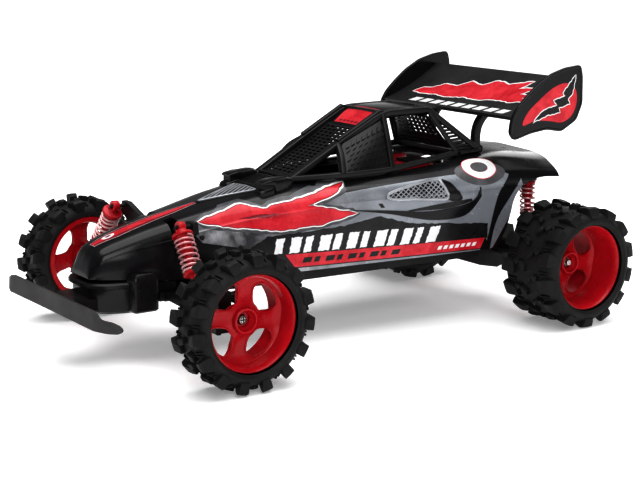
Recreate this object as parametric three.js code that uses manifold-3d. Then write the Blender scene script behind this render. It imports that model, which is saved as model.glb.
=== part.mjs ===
// Off-road buggy, a radio-controlled toy car of about 1:12 size, as an assembly of separate parts.
// Millimetres, +Z up, the nose towards -Y and the car's left side towards +X. The exported group's
// origin is on the ground under the middle of the car's length and width.
import * as THREE from "three";
import { mergeVertices } from "three/addons/utils/BufferGeometryUtils.js";
import Module from "manifold-3d";

// ---- Driving dimensions -------------------------------------------------------------------------
const TYRE_R = 38;
const TYRE_SIDES = 24;
const AXLE_Z = TYRE_R * Math.cos(Math.PI / TYRE_SIDES); // the tyre stands on one flat facet
const FRONT_AXLE_Y = -102;
const REAR_AXLE_Y = 145;
const NOSE_Y = -167.7; // the bumper's face
const WING_END_Y = 167.7;
const FRONT_TYRE = { outer: 108.8, width: 28 };
const REAR_TYRE = { outer: 104, width: 45 };
const GAP = 0.35; // between pieces that rest on each other
const WALL = 2; // moulded shells

const SHAFT_R = 2;
const KINGPIN_X = 70;
const ARM_PIVOT = { x: 22, z: 36 };
const TIE_ROD_Y = FRONT_AXLE_Y + 14;
const TIE_ROD_Z = 39;
const STEER_PIN_X = 70;
const HORN_Y = -76;

const FRONT_SHOCK = { top: [38.3, -107, 78], bottom: [60, -108.6, 48], seat: 6, perch: 27, coil: 5.2 };
const REAR_SHOCK = { top: [40, 147, 87], bottom: [40, 149, 57], seat: 5.5, perch: 24, coil: 4.6 };

const GEARBOX_PIVOT = { y: 98, z: 42 };
const GEAR_MODULE = 1;
const WHEEL_TEETH = 24;
const PINION_TEETH = 8;
const COMPOUND = { y: 129.5, z: AXLE_Z + 4 };
const PINION = { y: 114, z: AXLE_Z + 8 };
const CASE_SPLIT_X = 5.5;
const CASE_LEFT_X = 17;
const CASE_RIGHT_X = -6;

const DOOR = { x: 16, front: -42, rear: 34, z: 34, thick: 2 };

// ---- Materials ----------------------------------------------------------------------------------
const material = (color, roughness, metalness = 0) =>
  new THREE.MeshStandardMaterial({ color, roughness, metalness });
const GLOSS_BLACK = material(0x0b0b0d, 0.15);
const SATIN_BLACK = material(0x17181a, 0.45);
const GREY = material(0x4a4b4c, 0.6);
const RED = material(0xc01424, 0.35);
const SILVER = material(0xb4b7bc, 0.4, 0.6);
const RUBBER = material(0x1c1d1e, 0.8);
const STEEL = material(0xb0b3b6, 0.3, 0.9);
const SPRING_WIRE = material(0xe4c9cc, 0.35, 0.5);
const GREEN = material(0x145c34, 0.5);
const BLUE = material(0x20407c, 0.5);
const WHITE = material(0xe6e3da, 0.5);

// ---- Solids -------------------------------------------------------------------------------------
const wasm = await Module();
wasm.setup();

function welded(geometry) {
  const bare = geometry.index ? geometry.toNonIndexed() : geometry.clone();
  bare.deleteAttribute("normal");
  bare.deleteAttribute("uv");
  return mergeVertices(bare, 1e-4);
}

function flipped(geometry) {
  const index = geometry.index.array;
  for (let i = 0; i < index.length; i += 3) [index[i + 1], index[i + 2]] = [index[i + 2], index[i + 1]];
  return geometry;
}

// The mirror image across the car's middle plane, with its faces turned outwards again.
const turnedOver = (shape) => flipped(welded(shape).scale(-1, 1, 1));

function solidOf(geometry) {
  const merged = welded(geometry);
  const vertProperties = merged.attributes.position.array;
  const triVerts = new Uint32Array(merged.index.array);
  return new wasm.Manifold(new wasm.Mesh({ numProp: 3, vertProperties, triVerts }));
}

function geometryOf(solid) {
  const mesh = solid.getMesh();
  const geometry = new THREE.BufferGeometry();
  geometry.setAttribute("position", new THREE.BufferAttribute(mesh.vertProperties, 3));
  geometry.setIndex(new THREE.BufferAttribute(mesh.triVerts, 1));
  return geometry;
}

const joined = (...shapes) => geometryOf(shapes.map(solidOf).reduce((a, b) => a.add(b)));
const cut = (shape, ...tools) =>
  geometryOf(tools.map(solidOf).reduce((rest, tool) => rest.subtract(tool), solidOf(shape)));
const common = (a, b) => geometryOf(solidOf(a).intersect(solidOf(b)));
const mirrored = (points) => [...points, ...points.map(([a, b]) => [-a, b]).reverse()];

function box(x0, x1, y0, y1, z0, z1) {
  const shape = new THREE.BoxGeometry(x1 - x0, y1 - y0, z1 - z0);
  return shape.translate((x0 + x1) / 2, (y0 + y1) / 2, (z0 + z1) / 2);
}

function extruded(points, depth, xAxis, yAxis, zAxis) {
  const shape = new THREE.Shape(points.map(([a, b]) => new THREE.Vector2(a, b)));
  const geometry = new THREE.ExtrudeGeometry(shape, { depth, bevelEnabled: false });
  const basis = new THREE.Matrix4().makeBasis(xAxis, yAxis, zAxis);
  return geometry.applyMatrix4(basis);
}

const X = new THREE.Vector3(1, 0, 0);
const Y = new THREE.Vector3(0, 1, 0);
const Z = new THREE.Vector3(0, 0, 1);
// An outline seen from above, given as [x, y].
const fromAbove = (points, z0, z1) => extruded(points, z1 - z0, X, Y, Z).translate(0, 0, z0);
// An outline seen from the side, given as [y, z].
const fromSide = (points, x0, x1) => extruded(points, x1 - x0, Y, Z, X).translate(x0, 0, 0);
// An outline seen from the front, given as [x, z].
const fromFront = (points, y0, y1) =>
  extruded(points, y1 - y0, X, Z, Y.clone().negate()).translate(0, y1, 0);

function bar(from, to, radius, sides = 8) {
  const a = new THREE.Vector3(...from);
  const b = new THREE.Vector3(...to);
  const geometry = new THREE.CylinderGeometry(radius, radius, a.distanceTo(b), sides);
  const turn = new THREE.Quaternion().setFromUnitVectors(Y, b.clone().sub(a).normalize());
  const middle = a.add(b).multiplyScalar(0.5);
  return geometry.applyQuaternion(turn).translate(middle.x, middle.y, middle.z);
}

const rodX = (y, z, radius, x0, x1, sides = 8) => bar([x0, y, z], [x1, y, z], radius, sides);
const rodY = (x, z, radius, y0, y1, sides = 8) => bar([x, y0, z], [x, y1, z], radius, sides);
const rodZ = (x, y, radius, z0, z1, sides = 8) => bar([x, y, z0], [x, y, z1], radius, sides);

// A closed profile of [radius, height] turned about the X axis, with a flat facet at the bottom.
function turned(profile, sides) {
  const area = profile.reduce((sum, [r, h], i) => {
    const [r2, h2] = profile[(i + 1) % profile.length];
    return sum + r * h2 - r2 * h;
  }, 0);
  const loop = area > 0 ? profile : [...profile].reverse();
  const points = [...loop, loop[0]].map(([r, h]) => new THREE.Vector2(r, h));
  return new THREE.LatheGeometry(points, sides, Math.PI / sides).rotateZ(-Math.PI / 2);
}

// A flat or slightly twisted sheet between corner points, thickened along its mean normal.
function panel(corners, thickness) {
  const points = corners.map((c) => new THREE.Vector3(...c));
  const normal = new THREE.Vector3();
  points.forEach((p, i) => normal.add(p.clone().cross(points[(i + 1) % points.length])));
  const offset = normal.normalize().multiplyScalar(thickness);
  const all = [...points, ...points.map((p) => p.clone().add(offset))];
  const n = points.length;
  const faces = [];
  for (let i = 1; i < n - 1; i++) faces.push([0, i + 1, i], [n, n + i, n + i + 1]);
  for (let i = 0; i < n; i++) {
    const j = (i + 1) % n;
    faces.push([i, j, n + j], [i, n + j, n + i]);
  }
  const geometry = new THREE.BufferGeometry().setFromPoints(all);
  geometry.setIndex(faces.flat());
  return geometry;
}

const pulledIn = (corners, distance) => {
  const middle = new THREE.Vector3();
  corners.forEach((c) => middle.add(new THREE.Vector3(...c).divideScalar(corners.length)));
  return corners.map((c) => {
    const p = new THREE.Vector3(...c);
    return p.add(middle.clone().sub(p).normalize().multiplyScalar(distance)).toArray();
  });
};

// ---- Scene graph helpers ------------------------------------------------------------------------
const car = new THREE.Group();

function piece(name, geometry, look, parent = car) {
  const mesh = new THREE.Mesh(geometry, look);
  mesh.name = name;
  parent.add(mesh);
  return mesh;
}

function group(parent, x = 0, y = 0, z = 0) {
  const made = new THREE.Group();
  made.position.set(x, y, z);
  parent.add(made);
  return made;
}

const rightSide = group(car);
rightSide.scale.x = -1;
const SIDES = [
  { side: "left", parent: car },
  { side: "right", parent: rightSide },
];

// ---- Body shell ---------------------------------------------------------------------------------
// Each station: y, then half-width and height of the top middle, crease, shoulder, waist and sill.
const STATIONS = [
  { y: -148, top: 60, crease: [7, 59], shoulder: [10, 57], waist: [11.5, 53], sill: [11, 49] },
  { y: -143, top: 64.5, crease: [9.5, 63.5], shoulder: [13, 60.5], waist: [15, 54], sill: [15, 48.5] },
  { y: -128, top: 70, crease: [12, 69], shoulder: [16, 66], waist: [19.5, 57], sill: [20, 48] },
  { y: -108, top: 75.8, crease: [14.5, 74.8], shoulder: [19, 71], waist: [24, 58], sill: [25, 46] },
  { y: -85, top: 81, crease: [17, 80], shoulder: [22.5, 76], waist: [28.5, 62], sill: [30, 45] },
  { y: -62, top: 86, crease: [19.5, 85], shoulder: [26.5, 80], waist: [33, 66], sill: [35, 44] },
  { y: -40, top: 90, crease: [21.5, 89], shoulder: [32, 83], waist: [37.5, 68], sill: [38.5, 44] },
  { y: -18, top: 93, crease: [24, 92], shoulder: [38.5, 86.5], waist: [41, 69], sill: [40.5, 44] },
  { y: 5, top: 95, crease: [31, 94.5], shoulder: [43.5, 89], waist: [44.5, 70], sill: [42, 44] },
  { y: 35, top: 96, crease: [38, 96], shoulder: [49, 89.5], waist: [49, 71], sill: [44, 44] },
  { y: 70, top: 98.5, crease: [42, 98], shoulder: [53.5, 90], waist: [53, 72], sill: [46, 44] },
  { y: 100, top: 102.5, crease: [42, 101.5], shoulder: [56, 91], waist: [55, 73], sill: [47.5, 44] },
  { y: 125, top: 104.5, crease: [41, 103], shoulder: [57.5, 91.5], waist: [56.5, 74], sill: [48.5, 44] },
  { y: 158, top: 102.5, crease: [40, 100.5], shoulder: [58.5, 89.5], waist: [57.5, 75], sill: [49, 44] },
];

// The body as a closed solid, grown outwards by a margin or shrunk by a negative one.
function bodyLoft(margin, bottomDrop = 0) {
  const last = STATIONS.length - 1;
  const rings = STATIONS.map((s, i) => {
    const y = i === 0 ? s.y - margin : i === last ? s.y + Math.abs(margin) : s.y;
    const half = [s.sill, s.waist, s.shoulder, s.crease].map(([w, z], k) => [
      Math.max(w + margin, 1),
      k === 0 ? z - bottomDrop : z + (k > 1 ? margin : 0),
    ]);
    const left = [...half, [0, s.top + margin]];
    const right = half.map(([w, z]) => [-w, z]).reverse();
    return [...left, ...right].map(([x, z]) => new THREE.Vector3(x, y, z));
  });
  const n = rings[0].length;
  const faces = [];
  for (let i = 0; i < last; i++) {
    for (let k = 0; k < n; k++) {
      const j = (k + 1) % n;
      const [a, b, c, d] = [i * n + k, i * n + j, (i + 1) * n + j, (i + 1) * n + k];
      faces.push([a, c, b], [a, d, c]);
    }
  }
  for (let k = 1; k < n - 1; k++) {
    faces.push([0, k, k + 1], [last * n, last * n + k + 1, last * n + k]);
  }
  const geometry = new THREE.BufferGeometry().setFromPoints(rings.flat());
  geometry.setIndex(faces.flat());
  return solidOf(geometry).volume() > 0 ? geometry : flipped(geometry);
}

// Clearance over the rear tyres, seen from the side.
const WHEEL_ARCH = [
  [111, 30],
  [112, 40],
  [119.4, 56],
  [120.6, 68],
  [121.4, 76],
  [124, 81.6],
  [128.6, 85.4],
  [134.6, 87.4],
  [142, 88.2],
  [180, 87],
  [180, 30],
];
const COCKPIT = mirrored([
  [14, -12],
  [27, 4],
  [33, 36],
  [34, 92],
]);
// One outrigger of the front shock tower, seen from the front.
const TOWER_EAR = [
  [9, 58],
  [22, 60],
  [37, 71],
  [42.4, 74],
  [41.4, 80.4],
  [35, 80.4],
  [20, 75],
  [9, 66],
];
const TOWER_Y = [-101, -97.4];
const grownEar = TOWER_EAR.map(([x, z]) => [x + Math.sign(x - 24) * 1.2, z + Math.sign(z - 71) * 0.8]);

function makeBodyShell() {
  const tower = fromFront(grownEar, TOWER_Y[0] - 0.5, TOWER_Y[1] + 0.5);
  return cut(
    bodyLoft(0),
    bodyLoft(-WALL, 10),
    box(-70, 70, 150, 170, 40, 88),
    fromSide(WHEEL_ARCH, -70, 70),
    fromAbove(COCKPIT, 80, 120),
    tower,
    turnedOver(tower),
  );
}

const bodyEnvelope = bodyLoft(GAP);
piece("body_shell", makeBodyShell(), GLOSS_BLACK);

// ---- Chassis ------------------------------------------------------------------------------------
function makeChassisTub() {
  const outline = (inset) =>
    mirrored([
      [19 - inset, -112 + inset],
      [19 - inset, -79],
      [31 - inset, -62],
      [37 - inset, -20],
      [42 - inset, 40],
      [46.5 - inset, 102 - inset],
    ]);
  // The underside is flat in the middle and rises towards the sills.
  const trough = (raise) =>
    fromFront(
      mirrored([
        [17, DOOR.z + raise],
        [50, 41 + raise],
        [50, 60],
      ]),
      -120,
      110,
    );
  const pivotEar = (x0, x1) => box(x0, x1, 91, 102, 36, 48);
  const tub = cut(
    common(fromAbove(outline(0), DOOR.z, 43.5), trough(0)),
    common(fromAbove(outline(WALL), DOOR.z, 50), trough(DOOR.thick)),
    box(-DOOR.x - 0.4, DOOR.x + 0.4, DOOR.front - 0.4, DOOR.rear + 0.4, 30, 40),
    box(-30, 30, -99, -79.5, TIE_ROD_Z - 1.5, 50),
    box(-21, 21, 88, 110, 30, 50),
    box(-25, -17, 55, 68, 30, 40),
  );
  const ears = joined(tub, pivotEar(22, 25), pivotEar(-25, -22));
  const armPin = (x) => rodY(x, ARM_PIVOT.z, 1.3, -116, -88);
  const lug = (x0, x1) => box(x0, x1, -112, -108.5, 34, 39);
  const rearLug = (x0, x1) => box(x0, x1, -90.5, -88, 34, 38);
  return cut(
    joined(
      ears,
      lug(17, 24),
      lug(-24, -17),
      rearLug(17, 24),
      rearLug(-24, -17),
      armPin(ARM_PIVOT.x),
      armPin(-ARM_PIVOT.x),
    ),
    rodX(GEARBOX_PIVOT.y, GEARBOX_PIVOT.z, 1.6, -30, 30),
    box(-30, 30, -120, -112.1, 30, 40),
    box(-30, 30, -87.9, -80, 35, 37.2),
  );
}
piece("chassis_tub", makeChassisTub(), SATIN_BLACK);

function makeFrontBulkhead() {
  const block = mirrored([
    [12, -148.5],
    [18, -143],
    [23, -130],
    [19, -112.5],
  ]);
  const flange = mirrored([
    [12.5, -150.6],
    [18.8, -144],
    [22.5, -128],
  ]);
  const cheek = (x0, x1) => box(x0, x1, -131, -113.5, 30, 45.4);
  return joined(
    fromAbove(block, 29, 44),
    fromAbove(flange, 43, 46.2),
    cheek(20, 28),
    cheek(-28, -20),
    box(-15, 15, -165.2, -146, 31.5, 38),
  );
}
piece("front_bulkhead", makeFrontBulkhead(), GLOSS_BLACK);

function makeBumper() {
  const blade = [
    [-70, -160.5],
    [-52, NOSE_Y],
    [52, NOSE_Y],
    [70, -160.5],
    [70, -158.3],
    [52, -165.5],
    [-52, -165.5],
    [-70, -158.3],
  ];
  const face = mirrored([
    [58, 30],
    [66, 32],
    [70, 37],
    [69, 41],
  ]);
  return common(fromAbove(blade, 28, 44), fromFront(face, -170, -155));
}
piece("front_bumper", makeBumper(), GREY);

function makeFrontTower() {
  const plate = box(-12, 12, ...TOWER_Y, 45, 66);
  const ear = fromFront(TOWER_EAR, ...TOWER_Y);
  const [x, y, z] = FRONT_SHOCK.top;
  const pin = (side) => rodY(side * x, z, 1.2, y - 3.4, TOWER_Y[0] + 1);
  return joined(plate, ear, turnedOver(ear), pin(1), pin(-1));
}
piece("front_shock_tower", makeFrontTower(), SATIN_BLACK);

function makeRearTower() {
  const [x, y, z] = REAR_SHOCK.top;
  const leg = [
    [93, 40.2],
    [99.6, 40.2],
    [99.6, 44],
    [103, 44],
    [149, 88.5],
    [149, 93.4],
    [142, 93.4],
    [93, 48],
  ];
  const ear = (x0, x1) => box(x0, x1, y - 3, y + 3, z - 3, 91);
  return joined(
    box(-x - 5.8, x + 5.8, y - 4, y + 4, 90.6, 93.4),
    ...[1, -1].flatMap((side) => [
      fromSide(leg, side * 32 - 2, side * 32 + 2),
      ear(side * x - 5.8, side * x - 4),
      ear(side * x + 4, side * x + 5.8),
      rodX(y, z, 1.2, side * x - 5, side * x + 5),
    ]),
  );
}
piece("rear_shock_tower", makeRearTower(), SATIN_BLACK);

function makePivotPin() {
  return rodX(GEARBOX_PIVOT.y, GEARBOX_PIVOT.z, 1.3, -26, 26);
}
piece("gearbox_pivot_pin", makePivotPin(), STEEL);

// ---- Electrics ----------------------------------------------------------------------------------
function makeDoor() {
  const { x, front, rear, z, thick } = DOOR;
  const grip = box(x - 6, x - 3, -12, 4, z - 0.5, z + 0.9);
  return cut(box(-x, x, front, rear, z, z + thick), grip);
}
piece("battery_door", makeDoor(), SATIN_BLACK);

function makeBatteryPack() {
  const [y0, y1] = [DOOR.front + 2, DOOR.rear - 2];
  const cell = (x) => rodY(x, 50.5, 7.2, y0, y1, 12);
  return joined(cell(-7.4), cell(7.4), box(-14.6, 14.6, y0, y1, 37, 50.5));
}
piece("battery_pack", makeBatteryPack(), BLUE);

function makeReceiverBoard() {
  const board = box(-24, 24, 40, 84, 48, 49.6);
  const post = (x, y) => box(x - 2, x + 2, y - 2, y + 2, 37.5, 48.5);
  return joined(
    board,
    box(-14, -2, 50, 62, 49, 52),
    box(6, 16, 68, 78, 49, 58),
    post(-20, 44),
    post(20, 44),
    post(-20, 76),
    post(20, 76),
  );
}
piece("receiver_board", makeReceiverBoard(), GREEN);

function makeSwitch() {
  return joined(box(-24, -18, 58, 65, 37.9, 39.9), box(-22.5, -19.5, 58.5, 61.5, 33, 38.5));
}
piece("power_switch", makeSwitch(), WHITE);

function makeServo() {
  const foot = (x0, x1) => box(x0, x1, -78, -60, 36.4, 47);
  return joined(box(-14, 14, -84, -58, 46.4, 66), foot(10, 14), foot(-14, -10));
}
piece("steering_servo", makeServo(), SATIN_BLACK);

// ---- Cockpit ------------------------------------------------------------------------------------
function makeCockpitTray() {
  const inset = (d) =>
    mirrored([
      [14 - d, -12 + d * 1.4],
      [27 - d * 1.2, 4 + d * 0.4],
      [33 - d, 36],
      [34 - d, 92 - d],
    ]);
  const shell = cut(fromAbove(inset(0.6), 76, 92), fromAbove(inset(2.6), 78, 100));
  return joined(shell, box(-15, 15, 12, 44, 77, 82), box(-15, 15, 40, 50, 77, 101), box(-29, 29, 62, 88, 77, 96));
}
piece("cockpit_tray", makeCockpitTray(), SATIN_BLACK);

// Corners of the roll cage, on the left side.
const CAGE = {
  base: [17.3, -20, 94.5],
  joint: [18.2, 12.5, 112.8],
  roofFront: [19.1, 44.6, 130],
  roofRear: [19.6, 80, 130.6],
  sillFront: [34.5, 5, 97.4],
  sillRear: [37, 39, 98.6],
  strutInner: [30, 96, 103.6],
  strutOuter: [30, 112, 105.6],
};
const BAR_R = 1.9;
const otherSide = ([x, y, z]) => [-x, y, z];

function makeRollCage() {
  const spans = [
    ["base", "roofFront"],
    ["roofFront", "roofRear"],
    ["joint", "sillFront"],
    ["roofFront", "sillRear"],
    ["base", "sillFront"],
    ["sillFront", "sillRear"],
    ["sillRear", "strutInner"],
    ["strutInner", "strutOuter"],
    ["roofRear", "strutInner"],
    ["roofRear", "strutOuter"],
  ];
  const bars = spans.flatMap(([a, b]) => [
    bar(CAGE[a], CAGE[b], BAR_R, 6),
    bar(otherSide(CAGE[a]), otherSide(CAGE[b]), BAR_R, 6),
  ]);
  const across = ["base", "roofFront", "roofRear", "strutInner"].map((name) =>
    bar(CAGE[name], otherSide(CAGE[name]), BAR_R, 6),
  );
  const rung = (t) => {
    const along = (end) => CAGE.roofRear.map((v, i) => v + (CAGE[end][i] - v) * t);
    const [a, b] = [along("strutInner"), along("strutOuter")];
    return [bar(a, b, 0.9, 4), bar(otherSide(a), otherSide(b), 0.9, 4)];
  };
  const whole = joined(...bars, ...across, ...rung(0.65));
  return cut(whole, bodyEnvelope);
}
piece("roll_cage", makeRollCage(), SATIN_BLACK);

function makeWindscreen() {
  const screen = [CAGE.base, [13.5, 30, 122.3], [-13.5, 30, 122.3], otherSide(CAGE.base)];
  return cut(panel(pulledIn(screen, 4.2), 1), bodyEnvelope);
}
piece("windscreen_mesh", makeWindscreen(), SATIN_BLACK);

function makeRearMesh() {
  const screen = [
    [15.4, 83, 126.6],
    [25.4, 93.8, 107],
    [-25.4, 93.8, 107],
    [-15.4, 83, 126.6],
  ];
  return panel(screen, 1);
}
piece("rear_window_mesh", makeRearMesh(), SATIN_BLACK);

function makeRoofPanel() {
  const outline = [
    [31, 121.6],
    [44.6, 129.6],
    [77, 130.2],
    [77, 132.8],
    [44, 133.1],
    [31, 124.6],
  ];
  return cut(fromSide(outline, -16.6, 16.6), rodX(44.6, 130, BAR_R + GAP, -18, 18, 6));
}

for (const { side, parent } of SIDES) {
  const window = [CAGE.joint, CAGE.sillFront, CAGE.sillRear, CAGE.roofFront];
  const sheet = cut(panel(pulledIn(window, 4.6), 1), bodyEnvelope);
  piece(`side_mesh_${side}`, sheet, SATIN_BLACK, parent);
}

// ---- Trim on the body ---------------------------------------------------------------------------
function makeHoodGrille() {
  const corners = [
    [0, -74.5, 84.1],
    [12.1, -40.4, 90.6],
    [-12.1, -40.4, 90.6],
  ];
  return cut(panel(corners, 1), bodyEnvelope);
}
piece("hood_grille", makeHoodGrille(), SILVER);

function makeCowlScoops() {
  const outline = [
    [-44.5, 85],
    [-43.5, 92],
    [-38, 95.2],
    [-24, 96.6],
    [-22.5, 90],
  ];
  const bridge = [
    [-38, 86],
    [-38, 92],
    [-24, 94.6],
    [-24, 86],
  ];
  const ends = [fromSide(outline, 13.5, 23.5), fromSide(outline, -23.5, -13.5)];
  return cut(joined(fromSide(bridge, -15, 15), ...ends), bodyEnvelope);
}
piece("cowl_scoops", makeCowlScoops(), SATIN_BLACK);

for (const { side, parent } of SIDES) {
  const intake = [
    [50.4, 24.5, 86.2],
    [50.4, 25.4, 83.2],
    [56.2, 67.5, 81],
    [56, 60.8, 91.6],
  ];
  piece(`side_intake_${side}`, cut(panel(intake, 1), bodyEnvelope), SILVER, parent);
}

// ---- Rear wing ----------------------------------------------------------------------------------
const WING = { front: [109.3, 128.6], rear: [154.5, 150.9], sag: 2.6, thick: 2.2, half: 62.9 };

function wingProfile(grow) {
  const steps = 6;
  const along = (t, drop) => {
    const y = WING.front[0] + (WING.rear[0] - WING.front[0]) * t;
    const z = WING.front[1] + (WING.rear[1] - WING.front[1]) * t;
    return [y, z - 4 * WING.sag * t * (1 - t) - drop];
  };
  const top = [];
  const under = [];
  for (let i = 0; i <= steps; i++) {
    top.push(along(i / steps, -grow));
    under.push(along(i / steps, WING.thick + grow));
  }
  return [...top, ...under.reverse()];
}
piece("wing_blade", fromSide(wingProfile(0), -WING.half, WING.half), GLOSS_BLACK);

const ENDPLATE = [
  [164.7, 158.7],
  [166.8, 152],
  [WING_END_Y, 134.3],
  [163, 124],
  [150.3, 117.3],
  [137.6, 119.3],
  [124.2, 117.6],
  [111, 114.2],
  [107.2, 118.7],
  [108.5, 127.5],
  [112.4, 133.6],
  [119.3, 140],
  [128.6, 147.3],
  [140.5, 153.8],
  [152.8, 157.2],
];
for (const { side, parent } of SIDES) {
  piece(`wing_endplate_${side}`, fromSide(ENDPLATE, 63.3, 65.9), GLOSS_BLACK, parent);
}

function makeWingBracket() {
  const post = [
    [115.2, 100],
    [120.6, 100],
    [120.8, 118],
    [124, 124.5],
    [131, 131],
    [131, 142],
    [124, 138],
    [117.4, 126],
    [115.2, 118],
  ];
  const foot = box(-25, 25, 114.4, 121.4, 100, 106.6);
  const posts = [fromSide(post, 20.4, 25), fromSide(post, -25, -20.4)];
  const blade = fromSide(wingProfile(GAP), -70, 70);
  return cut(joined(foot, ...posts), bodyEnvelope, blade, box(-40, 40, 100, 140, 132.5, 150));
}
piece("wing_bracket", makeWingBracket(), SATIN_BLACK);
piece("roof_panel", makeRoofPanel(), GLOSS_BLACK);

// ---- Wheels -------------------------------------------------------------------------------------
const RIM_R = 26.4;
const BEAD_R = RIM_R + 0.6;
const RIM_SIDES = 20;

function makeTyre(width) {
  const wall = 2.6;
  const outside = [
    [BEAD_R, 1.4],
    [35, 0],
    [TYRE_R, 3.2],
    [TYRE_R, width - 3.2],
    [35, width],
    [BEAD_R, width - 1.4],
  ];
  const inside = [
    [BEAD_R, width - 1.4 - wall * 2],
    [34, width - wall - 1],
    [34, wall + 1],
    [BEAD_R, 1.4 + wall * 2],
  ];
  return turned([...outside, ...inside], TYRE_SIDES);
}

// Four windows, each a rounded trapezium seen along the axle.
function windowOutline(turn) {
  const shape = [
    [10.4, -0.34],
    [15, -0.5],
    [20.6, -0.44],
    [22.4, 0],
    [20.6, 0.44],
    [15, 0.5],
    [10.4, 0.34],
  ];
  return shape.map(([r, angle]) => [r * Math.cos(angle + turn), r * Math.sin(angle + turn)]);
}

function makeRim({ width, lip, disc, hub }) {
  const barrel = turned(
    [
      [23.2, 2],
      [RIM_R, 2],
      [25, 5],
      [25, lip - 3.4],
      [RIM_R, lip - 1.4],
      [RIM_R, lip],
      [23, lip - 1],
    ],
    RIM_SIDES,
  );
  const spokes = cut(
    rodX(0, 0, 24.2, disc - 1.4, disc + 1.4, RIM_SIDES),
    ...[0.25, 0.75, 1.25, 1.75].map((k) => fromSide(windowOutline(k * Math.PI), 0, width)),
  );
  const nave = rodX(0, 0, 6.4, 4, hub, 12);
  return cut(joined(barrel, spokes, nave), rodX(0, 0, SHAFT_R + GAP, -1, width), rodX(0, 0, 4.6, hub - 4, hub + 1));
}

const FRONT_RIM = { width: FRONT_TYRE.width, lip: 24.2, disc: 11.5, hub: 17.5 };
const REAR_RIM = { width: REAR_TYRE.width, lip: 41.2, disc: 19, hub: 25.6 };

// ---- Shock absorbers ----------------------------------------------------------------------------
class Helix extends THREE.Curve {
  constructor(radius, turns, z0, z1) {
    super();
    Object.assign(this, { radius, turns, z0, z1 });
  }
  getPoint(t, target = new THREE.Vector3()) {
    const angle = t * this.turns * 2 * Math.PI;
    const z = this.z0 + (this.z1 - this.z0) * t;
    return target.set(this.radius * Math.cos(angle), this.radius * Math.sin(angle), z);
  }
}

const SPRING_PITCH = 3.2;

// The shock's own frame has its top eye at the origin and its lower eye straight below.
function addShock(name, { top, bottom, seat, perch, coil }, parent, eyeAxis) {
  const down = new THREE.Vector3(...bottom).sub(new THREE.Vector3(...top));
  const frame = group(parent, ...top);
  frame.quaternion.setFromUnitVectors(Z.clone().negate(), down.clone().normalize());
  const length = down.length();
  const across = (z, r, half) =>
    eyeAxis === "x" ? rodX(0, z, r, -half, half) : rodY(0, z, r, -half, half);
  const tubeEnd = -(seat + perch) / 2;
  const cylinder = joined(
    across(0, 3.3, 2),
    rodZ(0, 0, 3.2, tubeEnd, -1.5),
    rodZ(0, 0, coil + 0.7, -seat + 0.3, -seat + 2),
  );
  const bored = cut(cylinder, across(0, 1.2 + GAP + 0.25, 6), rodZ(0, 0, 2, tubeEnd - 1, -4.2));
  const rod = joined(
    rodZ(0, 0, 1.5, -length + 1, tubeEnd + 2.5),
    rodZ(0, 0, coil + 0.6, -perch - 1.5, -perch),
    across(-length, 3.3, 2),
  );
  const wire = new THREE.Shape();
  wire.absarc(0, 0, 0.65, 0, 2 * Math.PI);
  const turns = Math.round((perch - seat) / SPRING_PITCH);
  const spring = new THREE.ExtrudeGeometry(wire, {
    steps: turns * 7,
    curveSegments: 3,
    extrudePath: new Helix(coil, turns, -seat - 0.8, -perch + 0.8),
  });
  piece(`${name}_shock_body`, bored, RED, frame);
  piece(`${name}_shock_rod`, cut(rod, across(-length, 2.1, 6)), RED, frame);
  piece(`${name}_spring`, spring, SPRING_WIRE, frame);
}

// ---- Front corners ------------------------------------------------------------------------------
function makeArm() {
  const plate = fromAbove(
    [
      [22, -107.5],
      [60, -111],
      [64, -108],
      [64, -96],
      [22, -91.5],
    ],
    34.5,
    38,
  );
  const barrel = rodY(ARM_PIVOT.x, ARM_PIVOT.z, 3, -107.9, -91.1);
  const carrier = joined(
    box(60.6, 64, -108, -96, 25.5, 40),
    box(60.6, 64, -105.9, -96, 39, 52),
    box(61, 74, -106, -98, 25.5, 28.6),
    box(61, 74, -106, -98, 49, 52),
  );
  const [x, y, z] = FRONT_SHOCK.bottom;
  const ear = (y0, y1) => box(x - 2, x + 2, y0, y1, 37, z + 2);
  const lugs = joined(ear(y - 4.6, y - 3), ear(y + 3, y + 4.6), rodY(x, z, 1, y - 4.5, y + 4.5));
  const ledge = box(50, 62, y - 4.6, y + 4.6, 36, 38);
  return cut(
    joined(plate, barrel, carrier, lugs, ledge),
    rodY(ARM_PIVOT.x, ARM_PIVOT.z, 1.3 + GAP, -120, -80),
    rodZ(KINGPIN_X, FRONT_AXLE_Y, 1.5 + GAP, 20, 60),
    box(22.5, 26, -97, -94, 30, 40),
  );
}

function makeKnuckle() {
  const block = box(66.5, 76.5, -106, -98, 29, 48.6);
  const steerArm = joined(
    box(STEER_PIN_X - 3, STEER_PIN_X + 3, -99, TIE_ROD_Y, 42.6, 45.6),
    rodZ(STEER_PIN_X, TIE_ROD_Y, 5.6, 42.6, 45.6, 12),
  );
  const kingpin = rodZ(KINGPIN_X, FRONT_AXLE_Y, 1.5, 24, 53.5);
  const hole = rodZ(STEER_PIN_X, TIE_ROD_Y, 4.1, 40, 50, 12);
  const stub = rodX(FRONT_AXLE_Y, AXLE_Z, SHAFT_R, 70, 95);
  return cut(joined(block, steerArm, kingpin, stub), hole);
}

for (const { side, parent } of SIDES) {
  piece(`front_${side}_arm`, makeArm(), SATIN_BLACK, parent);
  piece(`front_${side}_knuckle`, makeKnuckle(), STEEL, parent);
  const inner = FRONT_TYRE.outer - FRONT_TYRE.width;
  const wheel = group(parent, inner, FRONT_AXLE_Y, AXLE_Z);
  piece(`front_${side}_rim`, makeRim(FRONT_RIM), RED, wheel);
  piece(`front_${side}_tyre`, makeTyre(FRONT_TYRE.width), RUBBER, wheel);
  addShock(`front_${side}`, FRONT_SHOCK, parent, "y");
}

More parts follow.
